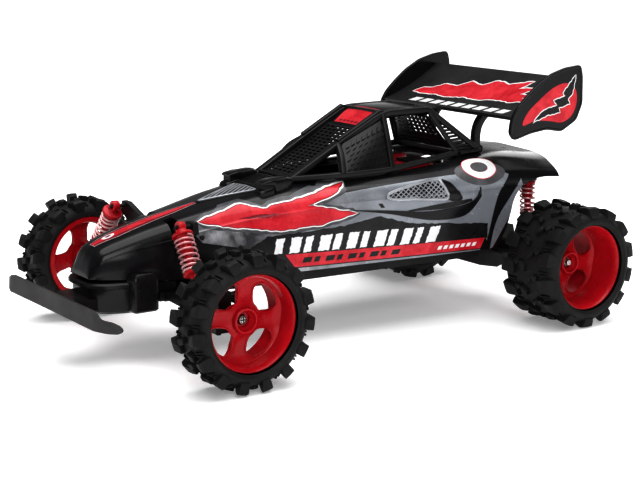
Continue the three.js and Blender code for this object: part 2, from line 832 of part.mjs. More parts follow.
function makeTieRod() {
  const y = TIE_ROD_Y;
  const pin = (x) => rodZ(x, y, 1.4, TIE_ROD_Z, 53, 8);
  return cut(
    joined(
      box(-STEER_PIN_X - 2, STEER_PIN_X + 2, y - 2, y + 2, TIE_ROD_Z, TIE_ROD_Z + 2.5),
      box(-5, 5, y - 5, y + 5, TIE_ROD_Z, TIE_ROD_Z + 2.5),
      pin(STEER_PIN_X),
      pin(-STEER_PIN_X),
    ),
    box(-1.9, 1.9, y - 3.6, y + 3.6, TIE_ROD_Z - 2, TIE_ROD_Z + 5),
  );
}
piece("tie_rod", makeTieRod(), SATIN_BLACK);

function makeHorn() {
  return joined(
    box(-2.6, 2.6, TIE_ROD_Y - 2, HORN_Y, 43, 45.2),
    rodZ(0, HORN_Y, 4, 43, 46),
    rodZ(0, TIE_ROD_Y, 1.3, TIE_ROD_Z - 0.6, 44, 8),
  );
}
piece("steering_horn", makeHorn(), WHITE);

// ---- Rear axle and gearbox ----------------------------------------------------------------------
function gearOutline(teeth, turn) {
  const pitchR = (GEAR_MODULE * teeth) / 2;
  const step = (2 * Math.PI) / teeth;
  const rootR = pitchR - 1.15 * GEAR_MODULE;
  const tipR = pitchR + 0.75 * GEAR_MODULE;
  const corners = [
    [rootR, -0.3],
    [tipR, -0.13],
    [tipR, 0.13],
    [rootR, 0.3],
  ];
  const points = [];
  for (let i = 0; i < teeth; i++) {
    for (const [r, share] of corners) {
      const angle = turn + (i + share) * step;
      points.push([r * Math.cos(angle), r * Math.sin(angle)]);
    }
  }
  return points;
}

const gearSlope = Math.atan2(COMPOUND.z - AXLE_Z, COMPOUND.y - REAR_AXLE_Y);
const pinionSlope = Math.atan2(PINION.z - COMPOUND.z, PINION.y - COMPOUND.y);
const gear = (teeth, turn, x0, x1) => fromSide(gearOutline(teeth, turn), x0, x1);
// A gear whose tooth meets a gap of its neighbour along the line of centres.
const toothAt = (slope) => slope;
const gapAt = (slope, teeth) => slope + Math.PI + Math.PI / teeth;

const rearGroup = group(car, 0, REAR_AXLE_Y, AXLE_Z);
const axleGear = cut(gear(WHEEL_TEETH, toothAt(gearSlope), 9, 13), rodX(0, 0, SHAFT_R + GAP, 0, 20));
piece("axle_gear", axleGear, WHITE, rearGroup);
piece("rear_axle", rodX(0, 0, SHAFT_R, -83, 83), STEEL, rearGroup);

function makeCompoundGear() {
  return joined(
    gear(WHEEL_TEETH, toothAt(pinionSlope), 2, 6.4),
    gear(PINION_TEETH, gapAt(gearSlope, PINION_TEETH), 6, 14),
    rodX(0, 0, 1.4, CASE_RIGHT_X + 0.4, CASE_LEFT_X - 0.4, 8),
  );
}
piece("compound_gear", makeCompoundGear(), WHITE, group(car, 0, COMPOUND.y, COMPOUND.z));

function makePinion() {
  return joined(
    gear(PINION_TEETH, gapAt(pinionSlope, PINION_TEETH), 1.6, 7),
    rodX(0, 0, 1.1, CASE_RIGHT_X + 0.3, 9, 8),
  );
}
piece("motor_pinion", makePinion(), STEEL, group(car, 0, PINION.y, PINION.z));

const CASE_OUTER = [
  [92, 37],
  [92, 47],
  [104, 55],
  [120, 58.5],
  [142, 54],
  [158, 50],
  [161, 38],
  [157, 26],
  [145, 22.6],
  [130, 25.6],
  [108, 33],
];
const CASE_INNER = [
  [94, 38],
  [94, 46],
  [105, 53.4],
  [120, 56.8],
  [141, 52.4],
  [156.6, 48.6],
  [159.4, 38],
  [155.8, 27.2],
  [145, 24.2],
  [131, 27],
  [109, 34.4],
];

function makeCaseHalf(outerX, splitX) {
  const [x0, x1] = [Math.min(outerX, splitX), Math.max(outerX, splitX)];
  const skin = 1.5;
  const [i0, i1] = outerX > splitX ? [x0 - 1, x1 - skin] : [x0 + skin, x1 + 1];
  const hollow = cut(fromSide(CASE_OUTER, x0, x1), fromSide(CASE_INNER, i0, i1));
  const direction = Math.sign(outerX - splitX);
  const [shockX, eyeY, eyeZ] = REAR_SHOCK.bottom;
  const sleeveEnds = [outerX - direction, direction * 55].sort((a, b) => a - b);
  const sleeve = rodX(REAR_AXLE_Y, AXLE_Z, 5.4, ...sleeveEnds, 12);
  const fin = (x0f, x1f) =>
    fromSide(
      [
        [138, 36],
        [153, 36],
        [152.4, eyeZ + 2.2],
        [145.6, eyeZ + 2.2],
      ],
      x0f,
      x1f,
    );
  const [near, far] = [shockX - 4, shockX + 4].map((x) => x * direction);
  const tie = [Math.min(near, far) + 0.5, Math.max(near, far) - 0.5];
  return cut(
    joined(
      hollow,
      sleeve,
      fin(near - 1, near + 1),
      fin(far - 1, far + 1),
      box(...tie, 140, 152, AXLE_Z, 49),
      rodX(eyeY, eyeZ, 1, ...tie, 8),
    ),
    rodX(REAR_AXLE_Y, AXLE_Z, SHAFT_R + 0.6, -60, 60),
    rodX(GEARBOX_PIVOT.y, GEARBOX_PIVOT.z, 1.3 + GAP, -30, 30),
    rodX(COMPOUND.y, COMPOUND.z, 1.4 + GAP, CASE_RIGHT_X - 1, CASE_LEFT_X + 1),
    rodX(PINION.y, PINION.z, 1.1 + GAP, CASE_RIGHT_X - 1, CASE_LEFT_X - 3),
  );
}
piece("gearbox_case_left", makeCaseHalf(CASE_LEFT_X, CASE_SPLIT_X + GAP / 2), SATIN_BLACK);
piece("gearbox_case_right", makeCaseHalf(CASE_RIGHT_X, CASE_SPLIT_X - GAP / 2), SATIN_BLACK);

function makeMotor() {
  const can = common(rodX(0, 0, 10, -27, CASE_RIGHT_X - GAP, 16), box(-30, 0, -10, 10, -7.7, 7.7));
  return joined(can, rodX(0, 0, 3, -28.5, -26, 8));
}
piece("drive_motor", makeMotor(), STEEL, group(car, 0, PINION.y, PINION.z));

for (const { side, parent } of SIDES) {
  const wheel = group(parent, REAR_TYRE.outer - REAR_TYRE.width, REAR_AXLE_Y, AXLE_Z);
  piece(`rear_${side}_rim`, makeRim(REAR_RIM), RED, wheel);
  piece(`rear_${side}_tyre`, makeTyre(REAR_TYRE.width), RUBBER, wheel);
  addShock(`rear_${side}`, REAR_SHOCK, parent, "x");
}

// The rearmost point is the rear tyres' tread.
const REAR_Y = REAR_AXLE_Y + AXLE_Z;
car.position.y = -(NOSE_Y + REAR_Y) / 2;
const part = new THREE.Group();
part.add(car);

export default part;
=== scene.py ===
import math
import random

import bmesh
import bpy
from mathutils import Matrix, Vector, geometry, kdtree
from mathutils.bvhtree import BVHTree


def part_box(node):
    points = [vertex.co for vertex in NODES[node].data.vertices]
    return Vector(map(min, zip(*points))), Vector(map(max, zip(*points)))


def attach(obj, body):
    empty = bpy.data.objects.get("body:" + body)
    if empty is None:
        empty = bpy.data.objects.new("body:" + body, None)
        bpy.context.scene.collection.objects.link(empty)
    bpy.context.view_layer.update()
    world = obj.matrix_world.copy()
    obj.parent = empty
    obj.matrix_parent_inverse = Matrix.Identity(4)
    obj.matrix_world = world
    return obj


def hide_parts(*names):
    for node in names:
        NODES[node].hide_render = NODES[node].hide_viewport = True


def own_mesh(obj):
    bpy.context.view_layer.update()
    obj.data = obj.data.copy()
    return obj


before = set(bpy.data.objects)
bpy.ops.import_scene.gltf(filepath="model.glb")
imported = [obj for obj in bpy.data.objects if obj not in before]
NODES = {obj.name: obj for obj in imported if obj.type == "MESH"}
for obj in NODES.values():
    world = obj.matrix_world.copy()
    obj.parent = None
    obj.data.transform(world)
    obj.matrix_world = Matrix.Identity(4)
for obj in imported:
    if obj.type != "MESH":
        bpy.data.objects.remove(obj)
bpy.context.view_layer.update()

# Lengths below are millimetres in the car's own numbers: the nose towards -Y, the left side
# towards +X, and y = 0 a little ahead of the middle of the car. SHIFT moves them into the frame.
NOSE_Y = -167.7
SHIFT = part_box("front_bumper")[0].y * 1000 - NOSE_Y
FRONT_AXLE_Y, REAR_AXLE_Y = -102.0, 145.0
AXLE_Z = (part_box("front_left_tyre")[1].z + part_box("front_left_tyre")[0].z) * 500
TREAD_R = AXLE_Z - 0.03
RIM_R = 26.4


def place(p):
    return Vector((p[0], p[1] + SHIFT, p[2])) * 0.001


def lerp(a, b, t):
    return a + (b - a) * t


# ---- Materials ------------------------------------------------------------------------------
class Look:
    """A node tree being built round one Principled shader."""

    def __init__(self, name, **inputs):
        self.material = bpy.data.materials.new(name)
        self.material.use_nodes = True
        self.tree = self.material.node_tree
        self.shader = self.tree.nodes["Principled BSDF"]
        self.coords = self.add("ShaderNodeTexCoord").outputs["Object"]
        self.shader.inputs["Specular IOR Level"].default_value = 0.34
        for key, value in inputs.items():
            self.shader.inputs[key.replace("_", " ")].default_value = value

    def add(self, kind, **settings):
        node = self.tree.nodes.new(kind)
        for key, value in settings.items():
            setattr(node, key, value)
        return node

    def link(self, a, b):
        self.tree.links.new(a, b)
        return a

    def noise(self, scale, detail=3.0, rough=0.55, stretch=None, distort=0.0):
        node = self.add("ShaderNodeTexNoise")
        node.inputs["Scale"].default_value = scale
        node.inputs["Detail"].default_value = detail
        node.inputs["Roughness"].default_value = rough
        node.inputs["Distortion"].default_value = distort
        source = self.coords
        if stretch:
            mapping = self.add("ShaderNodeMapping")
            mapping.inputs["Scale"].default_value = stretch
            self.link(source, mapping.inputs["Vector"])
            source = mapping.outputs["Vector"]
        self.link(source, node.inputs["Vector"])
        return node.outputs["Fac"]

    def ramp(self, source, *stops):
        node = self.add("ShaderNodeValToRGB")
        while len(node.color_ramp.elements) < len(stops):
            node.color_ramp.elements.new(0.5)
        for element, (at, colour) in zip(node.color_ramp.elements, stops):
            element.position = at
            element.color = colour if len(colour) == 4 else (*colour, 1)
        self.link(source, node.inputs["Fac"])
        return node.outputs["Color"]

    def levels(self, source, low, high, out_low, out_high):
        node = self.add("ShaderNodeMapRange")
        values = (low, high, out_low, out_high)
        for key, value in zip(("From Min", "From Max", "To Min", "To Max"), values):
            node.inputs[key].default_value = value
        self.link(source, node.inputs["Value"])
        return node.outputs["Result"]

    def mix(self, factor, a, b, mode="MIX"):
        node = self.add("ShaderNodeMix", data_type="RGBA", blend_type=mode)
        for value, socket in ((factor, node.inputs[0]), (a, node.inputs[6]), (b, node.inputs[7])):
            if isinstance(value, (int, float)):
                socket.default_value = value
            elif isinstance(value, tuple):
                socket.default_value = value if len(value) == 4 else (*value, 1)
            else:
                self.link(value, socket)
        return node.outputs[2]

    def colour(self, source):
        self.link(source, self.shader.inputs["Base Color"])

    def roughness(self, source, low, high):
        self.link(self.levels(source, 0.3, 0.7, low, high), self.shader.inputs["Roughness"])

    def bump(self, source, strength, depth_mm, below=None):
        node = self.add("ShaderNodeBump")
        node.inputs["Strength"].default_value = strength
        node.inputs["Distance"].default_value = depth_mm * 0.001
        self.link(source, node.inputs["Height"])
        if below:
            self.link(below, node.inputs["Normal"])
        self.link(node.outputs["Normal"], self.shader.inputs["Normal"])
        return node.outputs["Normal"]


def dusty(look, base, lift, dust=(0.16, 0.155, 0.15), amount=0.25):
    """A base colour with broad tone changes and small specks of dust."""
    broad = look.ramp(look.noise(38, 4), (0.35, base), (0.65, lift))
    specks = look.levels(look.noise(2100, 2, 0.5), 0.66, 0.74, 0.0, amount)
    patches = look.levels(look.noise(70, 3), 0.45, 0.7, 0.0, 1.0)
    both = look.add("ShaderNodeMath", operation="MULTIPLY")
    look.link(specks, both.inputs[0])
    look.link(patches, both.inputs[1])
    look.colour(look.mix(both.outputs[0], broad, dust))


def gloss_plastic(name, base, lift, low=0.1, high=0.24, dust=0.25, **extra):
    look = Look(name, **extra)
    dusty(look, base, lift, amount=dust)
    look.roughness(look.noise(55, 5, 0.65), low, high)
    scratches = look.noise(900, 2, 0.4, stretch=(0.25, 0.05, 1.0))
    wave = look.bump(look.noise(120, 2), 0.05, 0.25)
    look.bump(scratches, 0.03, 0.03, below=wave)
    return look.material


def satin_plastic(name, base, lift, low=0.36, high=0.52, grain=0.25, scale=2600, **extra):
    look = Look(name, **extra)
    dusty(look, base, lift)
    look.roughness(look.noise(90, 4, 0.6), low, high)
    look.bump(look.noise(scale, 3, 0.6), grain, 0.05)
    return look.material


def printed(name, base, lift, mottle=0.5):
    """A thin layer of ink under the same clear gloss as the body."""
    look = Look(name)
    cloud = look.noise(90, 5, 0.6, distort=0.6)
    grain = look.noise(3200, 2, 0.5)
    tone = look.ramp(cloud, (0.5 - mottle * 0.3, base), (0.5 + mottle * 0.3, lift))
    fine = look.levels(grain, 0.3, 0.7, 0.92, 1.08)
    look.colour(look.mix(1.0, tone, fine, "MULTIPLY"))
    look.roughness(look.noise(60, 5, 0.6), 0.16, 0.28)
    look.bump(look.noise(160, 2), 0.04, 0.2)
    return look.material


def rubber(name, base, lift):
    look = Look(name)
    dusty(look, base, lift, dust=(0.2, 0.19, 0.18), amount=0.35)
    look.roughness(look.noise(140, 4, 0.6), 0.5, 0.72)
    coarse = look.bump(look.noise(420, 4, 0.6), 0.16, 0.18)
    look.bump(look.noise(3400, 2, 0.6), 0.25, 0.04, below=coarse)
    return look.material


def airbrushed_silver(name):
    """Silver-grey side panels, darker and cloudier towards the nose."""
    look = Look(name)
    split = look.add("ShaderNodeSeparateXYZ")
    look.link(look.coords, split.inputs["Vector"])
    along = look.levels(split.outputs["Y"], -0.07, 0.03, 0.0, 1.0)
    cloud = look.levels(look.noise(46, 4, 0.55, distort=0.5), 0.38, 0.62, 0.0, 1.0)
    calm = look.ramp(look.noise(24, 3), (0.3, (0.23, 0.245, 0.27)), (0.7, (0.35, 0.365, 0.395)))
    front = look.ramp(cloud, (0.0, (0.05, 0.05, 0.055)), (1.0, (0.42, 0.425, 0.44)))
    flake = look.levels(look.noise(4200, 1, 0.5), 0.3, 0.7, 0.9, 1.12)
    look.colour(look.mix(1.0, look.mix(along, front, calm), flake, "MULTIPLY"))
    look.shader.inputs["Metallic"].default_value = 0.25
    look.roughness(look.noise(60, 4), 0.2, 0.32)
    look.bump(look.noise(160, 2), 0.04, 0.2)
    return look.material


BODY_BLACK = gloss_plastic("body_gloss_black", (0.006, 0.006, 0.007), (0.012, 0.012, 0.014))
WING_BLACK = gloss_plastic("wing_black", (0.018, 0.018, 0.019), (0.03, 0.03, 0.031), 0.22, 0.36)
NOSE_BLACK = gloss_plastic("nose_gloss_black", (0.006, 0.006, 0.007), (0.013, 0.013, 0.014), 0.14, 0.3)
SATIN = satin_plastic("satin_black", (0.006, 0.006, 0.0065), (0.012, 0.012, 0.0125))
CAGE_BLACK = satin_plastic("cage_black", (0.008, 0.008, 0.0085), (0.015, 0.015, 0.016), 0.28, 0.42)
BUMPER_GREY = satin_plastic("bumper_grey", (0.04, 0.04, 0.039), (0.058, 0.057, 0.055), 0.5, 0.66, 0.5, 1500)
RED = gloss_plastic("red_plastic", (0.4, 0.005, 0.014), (0.5, 0.009, 0.021), 0.2, 0.36, 0.12,
                    Subsurface_Weight=0.08, Subsurface_Radius=(0.004, 0.001, 0.001))
SILVER = satin_plastic("silver_paint", (0.32, 0.33, 0.35), (0.5, 0.51, 0.54), 0.26, 0.4, 0.3, 3000,
                       Metallic=0.55)
TYRE = rubber("tyre_rubber", (0.008, 0.008, 0.008), (0.016, 0.016, 0.0155))
TREAD = rubber("tread_rubber", (0.006, 0.006, 0.006), (0.013, 0.013, 0.013))
SPRING = satin_plastic("spring_lacquer", (0.62, 0.3, 0.32), (0.85, 0.6, 0.6), 0.22, 0.34, 0.1, Metallic=0.35)
STEEL = satin_plastic("steel", (0.42, 0.41, 0.4), (0.6, 0.59, 0.57), 0.22, 0.4, 0.15, Metallic=1.0)
NYLON = satin_plastic("nylon", (0.62, 0.6, 0.54), (0.74, 0.72, 0.66), 0.4, 0.5)
BOARD = satin_plastic("circuit_board", (0.01, 0.07, 0.03), (0.02, 0.12, 0.05), 0.3, 0.4)
SLEEVE = satin_plastic("battery_sleeve", (0.01, 0.03, 0.16), (0.02, 0.05, 0.22), 0.2, 0.3)
SIDE_SILVER = airbrushed_silver("side_silver")
PRINT_RED = printed("print_red", (0.48, 0.015, 0.03), (0.66, 0.05, 0.07))
PRINT_WHITE = printed("print_white", (0.72, 0.72, 0.73), (0.84, 0.84, 0.85), mottle=0.8)
PRINT_BLACK = printed("print_black", (0.008, 0.008, 0.009), (0.02, 0.02, 0.022))
PRINT_DEEP = printed("print_deep", (0.16, 0.01, 0.02), (0.24, 0.02, 0.03))
PRINT_PALE = printed("print_pale", (0.42, 0.3, 0.32), (0.56, 0.44, 0.46))
PRINT_GREY = printed("print_grey", (0.085, 0.085, 0.09), (0.14, 0.14, 0.15))
PRINT_SHADE = printed("print_shade", (0.05, 0.05, 0.055), (0.13, 0.135, 0.145), mottle=0.9)


# ---- Mesh making ----------------------------------------------------------------------------
def mirrored(points, faces):
    return [(-x, y, z) for x, y, z in points], [tuple(reversed(f)) for f in faces]


def handed(shape, side):
    """A shape drawn for the left side, as it is or mirrored for the right."""
    return mirrored(*shape) if side == "right" else shape


def make(name, shape, look, body, nodes=(), bevel=0.0, sharp=35, outward=True, normals=None):
    """A mesh object from (points, faces) in car millimetres, riding on a CAD body."""
    points, faces = shape
    mesh = bpy.data.meshes.new(name)
    mesh.from_pydata([place(p) for p in points], [], faces)
    if not normals:
        mesh.validate()
    if outward:
        reworked(mesh, bmesh.ops.recalc_face_normals)
    mesh.shade_smooth()
    mesh.set_sharp_from_angle(angle=math.radians(sharp))
    if normals:
        mesh.normals_split_custom_set_from_vertices(normals)
    mesh.materials.append(look)
    piece = bpy.data.objects.new(name, mesh)
    bpy.context.scene.collection.objects.link(piece)
    if bevel:
        soften(piece, bevel)
    if body:
        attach(piece, body)
    if nodes:
        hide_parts(*([nodes] if isinstance(nodes, str) else nodes))
    return piece


def reworked(mesh, change):
    """Runs one bmesh operator over all the faces of a mesh."""
    bm = bmesh.new()
    bm.from_mesh(mesh)
    change(bm, faces=bm.faces)
    bm.to_mesh(mesh)
    bm.free()


def soften(piece, width, segments=2, angle=32):
    bevel = piece.modifiers.new("soft_edges", "BEVEL")
    bevel.width = width * 0.001
    bevel.segments = segments
    bevel.limit_method = "ANGLE"
    bevel.angle_limit = math.radians(angle)
    bevel.harden_normals = True
    return bevel


def merge(*shapes):
    points, faces = [], []
    for p, f in shapes:
        base = len(points)
        points.extend(p)
        faces.extend(tuple(i + base for i in face) for face in f)
    return points, faces


def moved(shape, dx=0.0, dy=0.0, dz=0.0):
    return [(x + dx, y + dy, z + dz) for x, y, z in shape[0]], shape[1]


def turned(shape, matrix):
    return [tuple(matrix @ Vector(p)) for p in shape[0]], shape[1]


def block(x0, x1, y0, y1, z0, z1):
    points = [(x, y, z) for z in (z0, z1) for y in (y0, y1) for x in (x0, x1)]
    return points, [(0, 2, 3, 1), (4, 5, 7, 6), (0, 1, 5, 4), (2, 6, 7, 3), (0, 4, 6, 2), (1, 3, 7, 5)]


def revolve(profile, steps=72, closed=True):
    """A profile of (radius, x) turned about the X axis."""
    points = []
    for i in range(steps):
        a = 2 * math.pi * i / steps
        points.extend((x, r * math.sin(a), r * math.cos(a)) for r, x in profile)
    n = len(profile)
    faces = []
    for i in range(steps):
        j = (i + 1) % steps
        for k in range(n if closed else n - 1):
            m = (k + 1) % n
            faces.append((i * n + k, i * n + m, j * n + m, j * n + k))
    return points, faces


def sweep(path, section, closed=False, up=Vector((0, 0, 1))):
    """A section of (sideways, upwards) offsets carried along a path, with flat ends."""
    path = [Vector(p) for p in path]
    n, m = len(path), len(section)
    points, faces = [], []
    for i, p in enumerate(path):
        ahead = path[(i + 1) % n] if closed or i < n - 1 else path[i]
        behind = path[i - 1] if closed or i > 0 else path[i]
        tangent = (ahead - behind).normalized()
        across = tangent.cross(up).normalized()
        rise = across.cross(tangent)
        points.extend(tuple(p + across * u + rise * v) for u, v in section)
    for i in range(n if closed else n - 1):
        j = (i + 1) % n
        for k in range(m):
            q = (k + 1) % m
            faces.append((i * m + k, i * m + q, j * m + q, j * m + k))
    if not closed:
        faces += [tuple(range(m - 1, -1, -1)), tuple(range((n - 1) * m, n * m))]
    return points, faces


def ring(radius, sides):
    angles = [2 * math.pi * k / sides for k in range(sides)]
    return [(radius * math.cos(a), radius * math.sin(a)) for a in angles]


def rounded_box(half_w, half_h, corner, steps=3):
    out = []
    for cx, cy, start in ((1, 1, 0), (-1, 1, 90), (-1, -1, 180), (1, -1, 270)):
        for k in range(steps + 1):
            a = math.radians(start + 90 * k / steps)
            out.append((cx * (half_w - corner) + corner * math.cos(a),
                        cy * (half_h - corner) + corner * math.sin(a)))
    return out


def smooth_path(points, radius, steps=5):
    """A polyline with its inner corners rounded."""
    pts = [Vector(p) for p in points]
    out = [pts[0]]
    for a, b, c in zip(pts, pts[1:], pts[2:]):
        r1 = min(radius, (a - b).length * 0.45)
        r2 = min(radius, (c - b).length * 0.45)
        start, end = b + (a - b).normalized() * r1, b + (c - b).normalized() * r2
        for k in range(steps + 1):
            t = k / steps
            out.append(start * (1 - t) ** 2 + b * 2 * t * (1 - t) + end * t * t)
    out.append(pts[-1])
    return out


def rounded(outline, radius, steps=4):
    """A closed 2-D outline with its corners rounded."""
    pts = [Vector((p[0], p[1])) for p in outline]
    out = []
    for i, b in enumerate(pts):
        a, c = pts[i - 1], pts[(i + 1) % len(pts)]
        r1 = min(radius, (a - b).length * 0.45)
        r2 = min(radius, (c - b).length * 0.45)
        start, end = b + (a - b).normalized() * r1, b + (c - b).normalized() * r2
        for k in range(steps + 1):
            t = k / steps
            out.append(tuple(start * (1 - t) ** 2 + b * 2 * t * (1 - t) + end * t * t))
    return out


def curve_through(points, per_span=6, closed=True):
    """A Catmull-Rom curve through 2-D or 3-D points."""
    pts = [Vector(p) for p in points]
    n = len(pts)
    out = []
    for i in range(n if closed else n - 1):
        take = (lambda k: pts[k % n]) if closed else (lambda k: pts[max(0, min(n - 1, k))])
        p0, p1, p2, p3 = take(i - 1), take(i), take(i + 1), take(i + 2)
        for k in range(per_span):
            t = k / per_span
            out.append(0.5 * (2 * p1 + (p2 - p0) * t + (2 * p0 - 5 * p1 + 4 * p2 - p3) * t * t
                              + (3 * p1 - p0 - 3 * p2 + p3) * t ** 3))
    if not closed:
        out.append(pts[-1])
    return [tuple(p) for p in out]


def prism(outline, axis, low, high):
    """A 2-D outline given depth: 'x' takes (y, z), 'y' takes (x, z) and 'z' takes (x, y)."""
    def at(p, d):
        return {"x": (d, p[0], p[1]), "y": (p[0], d, p[1]), "z": (p[0], p[1], d)}[axis]
    n = len(outline)
    points = [at(p, low) for p in outline] + [at(p, high) for p in outline]
    faces = [tuple(range(n)), tuple(range(2 * n - 1, n - 1, -1))]
    faces += [(i, n + i, n + (i + 1) % n, (i + 1) % n) for i in range(n)]
    return points, faces


def inside(p, loop):
    hit = False
    x, y = p[0], p[1]
    for (x1, y1), (x2, y2) in zip(loop, loop[1:] + loop[:1]):
        if (y1 > y) != (y2 > y) and x < (x2 - x1) * (y - y1) / (y2 - y1) + x1:
            hit = not hit
    return hit


def resampled(loop, spacing):
    out = []
    for a, b in zip(loop, loop[1:] + loop[:1]):
        steps = max(1, math.ceil(math.dist(a[:2], b[:2]) / spacing))
        out += [(lerp(a[0], b[0], k / steps), lerp(a[1], b[1], k / steps)) for k in range(steps)]
    return out


def flat_mesh(outline, holes=(), spacing=2.0):
    """Triangles filling a 2-D outline round its holes, with evenly spread points inside."""
    loops = [resampled([tuple(p[:2]) for p in loop], spacing) for loop in (outline, *holes)]
    coords, edges = [], []
    for loop in loops:
        base = len(coords)
        coords += loop
        edges += [(base + i, base + (i + 1) % len(loop)) for i in range(len(loop))]
    tree = kdtree.KDTree(len(coords))
    for i, p in enumerate(coords):
        tree.insert((*p, 0), i)
    tree.balance()
    lo = [min(p[i] for p in loops[0]) for i in (0, 1)]
    hi = [max(p[i] for p in loops[0]) for i in (0, 1)]
    row, y = 0, lo[1] + spacing * 0.5
    while y < hi[1]:
        x = lo[0] + spacing * (0.5 if row % 2 else 1.0)
        while x < hi[0]:
            clear = tree.find((x, y, 0))[2] > spacing * 0.55
            if clear and inside((x, y), loops[0]) and not any(inside((x, y), h) for h in loops[1:]):
                coords.append((x, y))
            x += spacing
        y += spacing * 0.866
        row += 1
    verts, _, faces, *_ = geometry.delaunay_2d_cdt([Vector(p) for p in coords], edges, [], 0, 1e-5)
    kept = []
    for f in faces:
        c = sum((verts[i] for i in f), Vector((0, 0))) / len(f)
        if inside(c, loops[0]) and not any(inside(c, h) for h in loops[1:]):
            kept.append(tuple(f))
    return [tuple(v) for v in verts], kept


def sheet(flat, lift, thickness=0.0):
    """A flat mesh lifted into space by a function of (u, v), then given thickness below it."""
    verts, faces = flat
    top = [Vector(lift(u, v)) for u, v in verts]
    if not thickness:
        return [tuple(p) for p in top], faces
    normals = [Vector() for _ in top]
    for f in faces:
        n = (top[f[1]] - top[f[0]]).cross(top[f[2]] - top[f[0]])
        for i in f:
            normals[i] += n
    under = [p - n.normalized() * thickness for p, n in zip(top, normals)]
    count = len(top)
    sides = {}
    for f in faces:
        for a, b in zip(f, f[1:] + f[:1]):
            sides[(a, b)] = True
    border = [(a, b) for a, b in sides if (b, a) not in sides]
    out = list(faces) + [tuple(i + count for i in reversed(f)) for f in faces]
    out += [(b, a, a + count, b + count) for a, b in border]
    return [tuple(p) for p in top + under], out


def tree_of(piece):
    """A search tree over a piece's finished surface, in metres."""
    graph = bpy.context.evaluated_depsgraph_get()
    done = piece.evaluated_get(graph)
    mesh = done.to_mesh()
    world = piece.matrix_world
    tree = BVHTree.FromPolygons([world @ v.co for v in mesh.vertices],
                                [tuple(p.vertices) for p in mesh.polygons])
    done.to_mesh_clear()
    return tree


def settled(piece):
    """Applies a piece's modifiers to its mesh."""
    graph = bpy.context.evaluated_depsgraph_get()
    mesh = bpy.data.meshes.new_from_object(piece.evaluated_get(graph))
    old = piece.data
    piece.modifiers.clear()
    piece.data = mesh
    mesh.name = piece.name
    bpy.data.meshes.remove(old)


def carve(piece, shape):
    """Cuts a closed shape out of a piece."""
    tool = make("tool", shape, SATIN, None)
    cut = piece.modifiers.new("cut", "BOOLEAN")
    cut.operation = "DIFFERENCE"
    cut.solver = "MANIFOLD"
    cut.object = tool
    settled(piece)
    bpy.data.objects.remove(tool)


# ---- Camera, floor and light ----------------------------------------------------------------
# The camera: its place, the way it looks back from the car, its tilt in degrees and its lens.
CAMERA_AT = (726.81, -501.73, 231.48)
CAMERA_BACK = (0.79967, -0.5669, 0.19787)
CAMERA_ROLL = 0.7734
CAMERA_LENS = 83.13
# The studio's grey, from the horizon (0) to straight overhead (1).
SKY_TONES = ((0.0, 0.75), (0.1, 0.7), (0.3, 0.2), (0.6, 0.14), (0.85, 0.5))


def make_camera():
    camera = bpy.data.objects.new("camera", bpy.data.cameras.new("camera"))
    bpy.context.scene.collection.objects.link(camera)
    bpy.context.scene.camera = camera
    back = Vector(CAMERA_BACK).normalized()
    level = Vector((0, 0, 1)).cross(back).normalized()
    rise = back.cross(level)
    roll = math.radians(CAMERA_ROLL)
    right = level * math.cos(roll) + rise * math.sin(roll)
    up = rise * math.cos(roll) - level * math.sin(roll)
    matrix = Matrix((right, up, back)).transposed().to_4x4()
    matrix.translation = place(CAMERA_AT)
    camera.matrix_world = matrix
    camera.data.lens = CAMERA_LENS
    camera.data.sensor_width = 36
    camera.data.clip_start = 0.05


def make_floor():
    mesh = bpy.data.meshes.new("floor")
    mesh.from_pydata([(-6, -6, 0), (6, -6, 0), (6, 6, 0), (-6, 6, 0)], [], [(0, 1, 2, 3)])
    floor = bpy.data.objects.new("floor", mesh)
    bpy.context.scene.collection.objects.link(floor)
    look = Look("floor_paper", Emission_Color=(1, 1, 1, 1), Emission_Strength=0.3)
    look.colour(look.ramp(look.noise(3, 3), (0.3, (0.83, 0.83, 0.83)), (0.7, (0.86, 0.86, 0.86))))
    look.roughness(look.noise(40, 3), 0.75, 0.85)
    mesh.materials.append(look.material)


def make_sky():
    world = bpy.data.worlds.new("studio")
    bpy.context.scene.world = world
    world.use_nodes = True
    tree = world.node_tree
    split = tree.nodes.new("ShaderNodeSeparateXYZ")
    shade = tree.nodes.new("ShaderNodeValToRGB")
    tree.links.new(tree.nodes.new("ShaderNodeTexCoord").outputs["Generated"], split.inputs["Vector"])
    tree.links.new(split.outputs["Z"], shade.inputs["Fac"])
    tree.links.new(shade.outputs["Color"], tree.nodes["Background"].inputs["Color"])
    while len(shade.color_ramp.elements) < len(SKY_TONES):
        shade.color_ramp.elements.new(0.5)
    for element, (at, tone) in zip(shade.color_ramp.elements, SKY_TONES):
        element.position = at
        element.color = (tone, tone, tone, 1)


def make_lights():
    sun = bpy.data.lights.new("even_light", "SUN")
    sun.energy = 2.3
    sun.angle = math.radians(60)
    bpy.context.scene.collection.objects.link(bpy.data.objects.new("even_light", sun))
    add_light("overhead", (0.1, 0.1, 1.6), (0, 0, 0.05), 2.4, 2.2, 14)
    add_light("left_front", (1.3, -0.6, 0.9), (0, 0, 0.06), 0.9, 0.7, 10)
    add_light("right_rear", (-0.6, 1.3, 0.7), (0, 0, 0.06), 0.9, 0.6, 5)
    bpy.context.scene.view_settings.view_transform = "Standard"
    bpy.context.scene.view_settings.gamma = 0.72


def add_light(name, where, target, width, height, power):
    data = bpy.data.lights.new(name, "AREA")
    data.shape = "RECTANGLE"
    data.size, data.size_y = width, height
    data.energy = power
    lamp = bpy.data.objects.new(name, data)
    bpy.context.scene.collection.objects.link(lamp)
    lamp.location = where
    aim = Vector(target) - Vector(where)
    lamp.rotation_euler = aim.to_track_quat("-Z", "Y").to_euler()


make_camera()
make_floor()
make_sky()
make_lights()


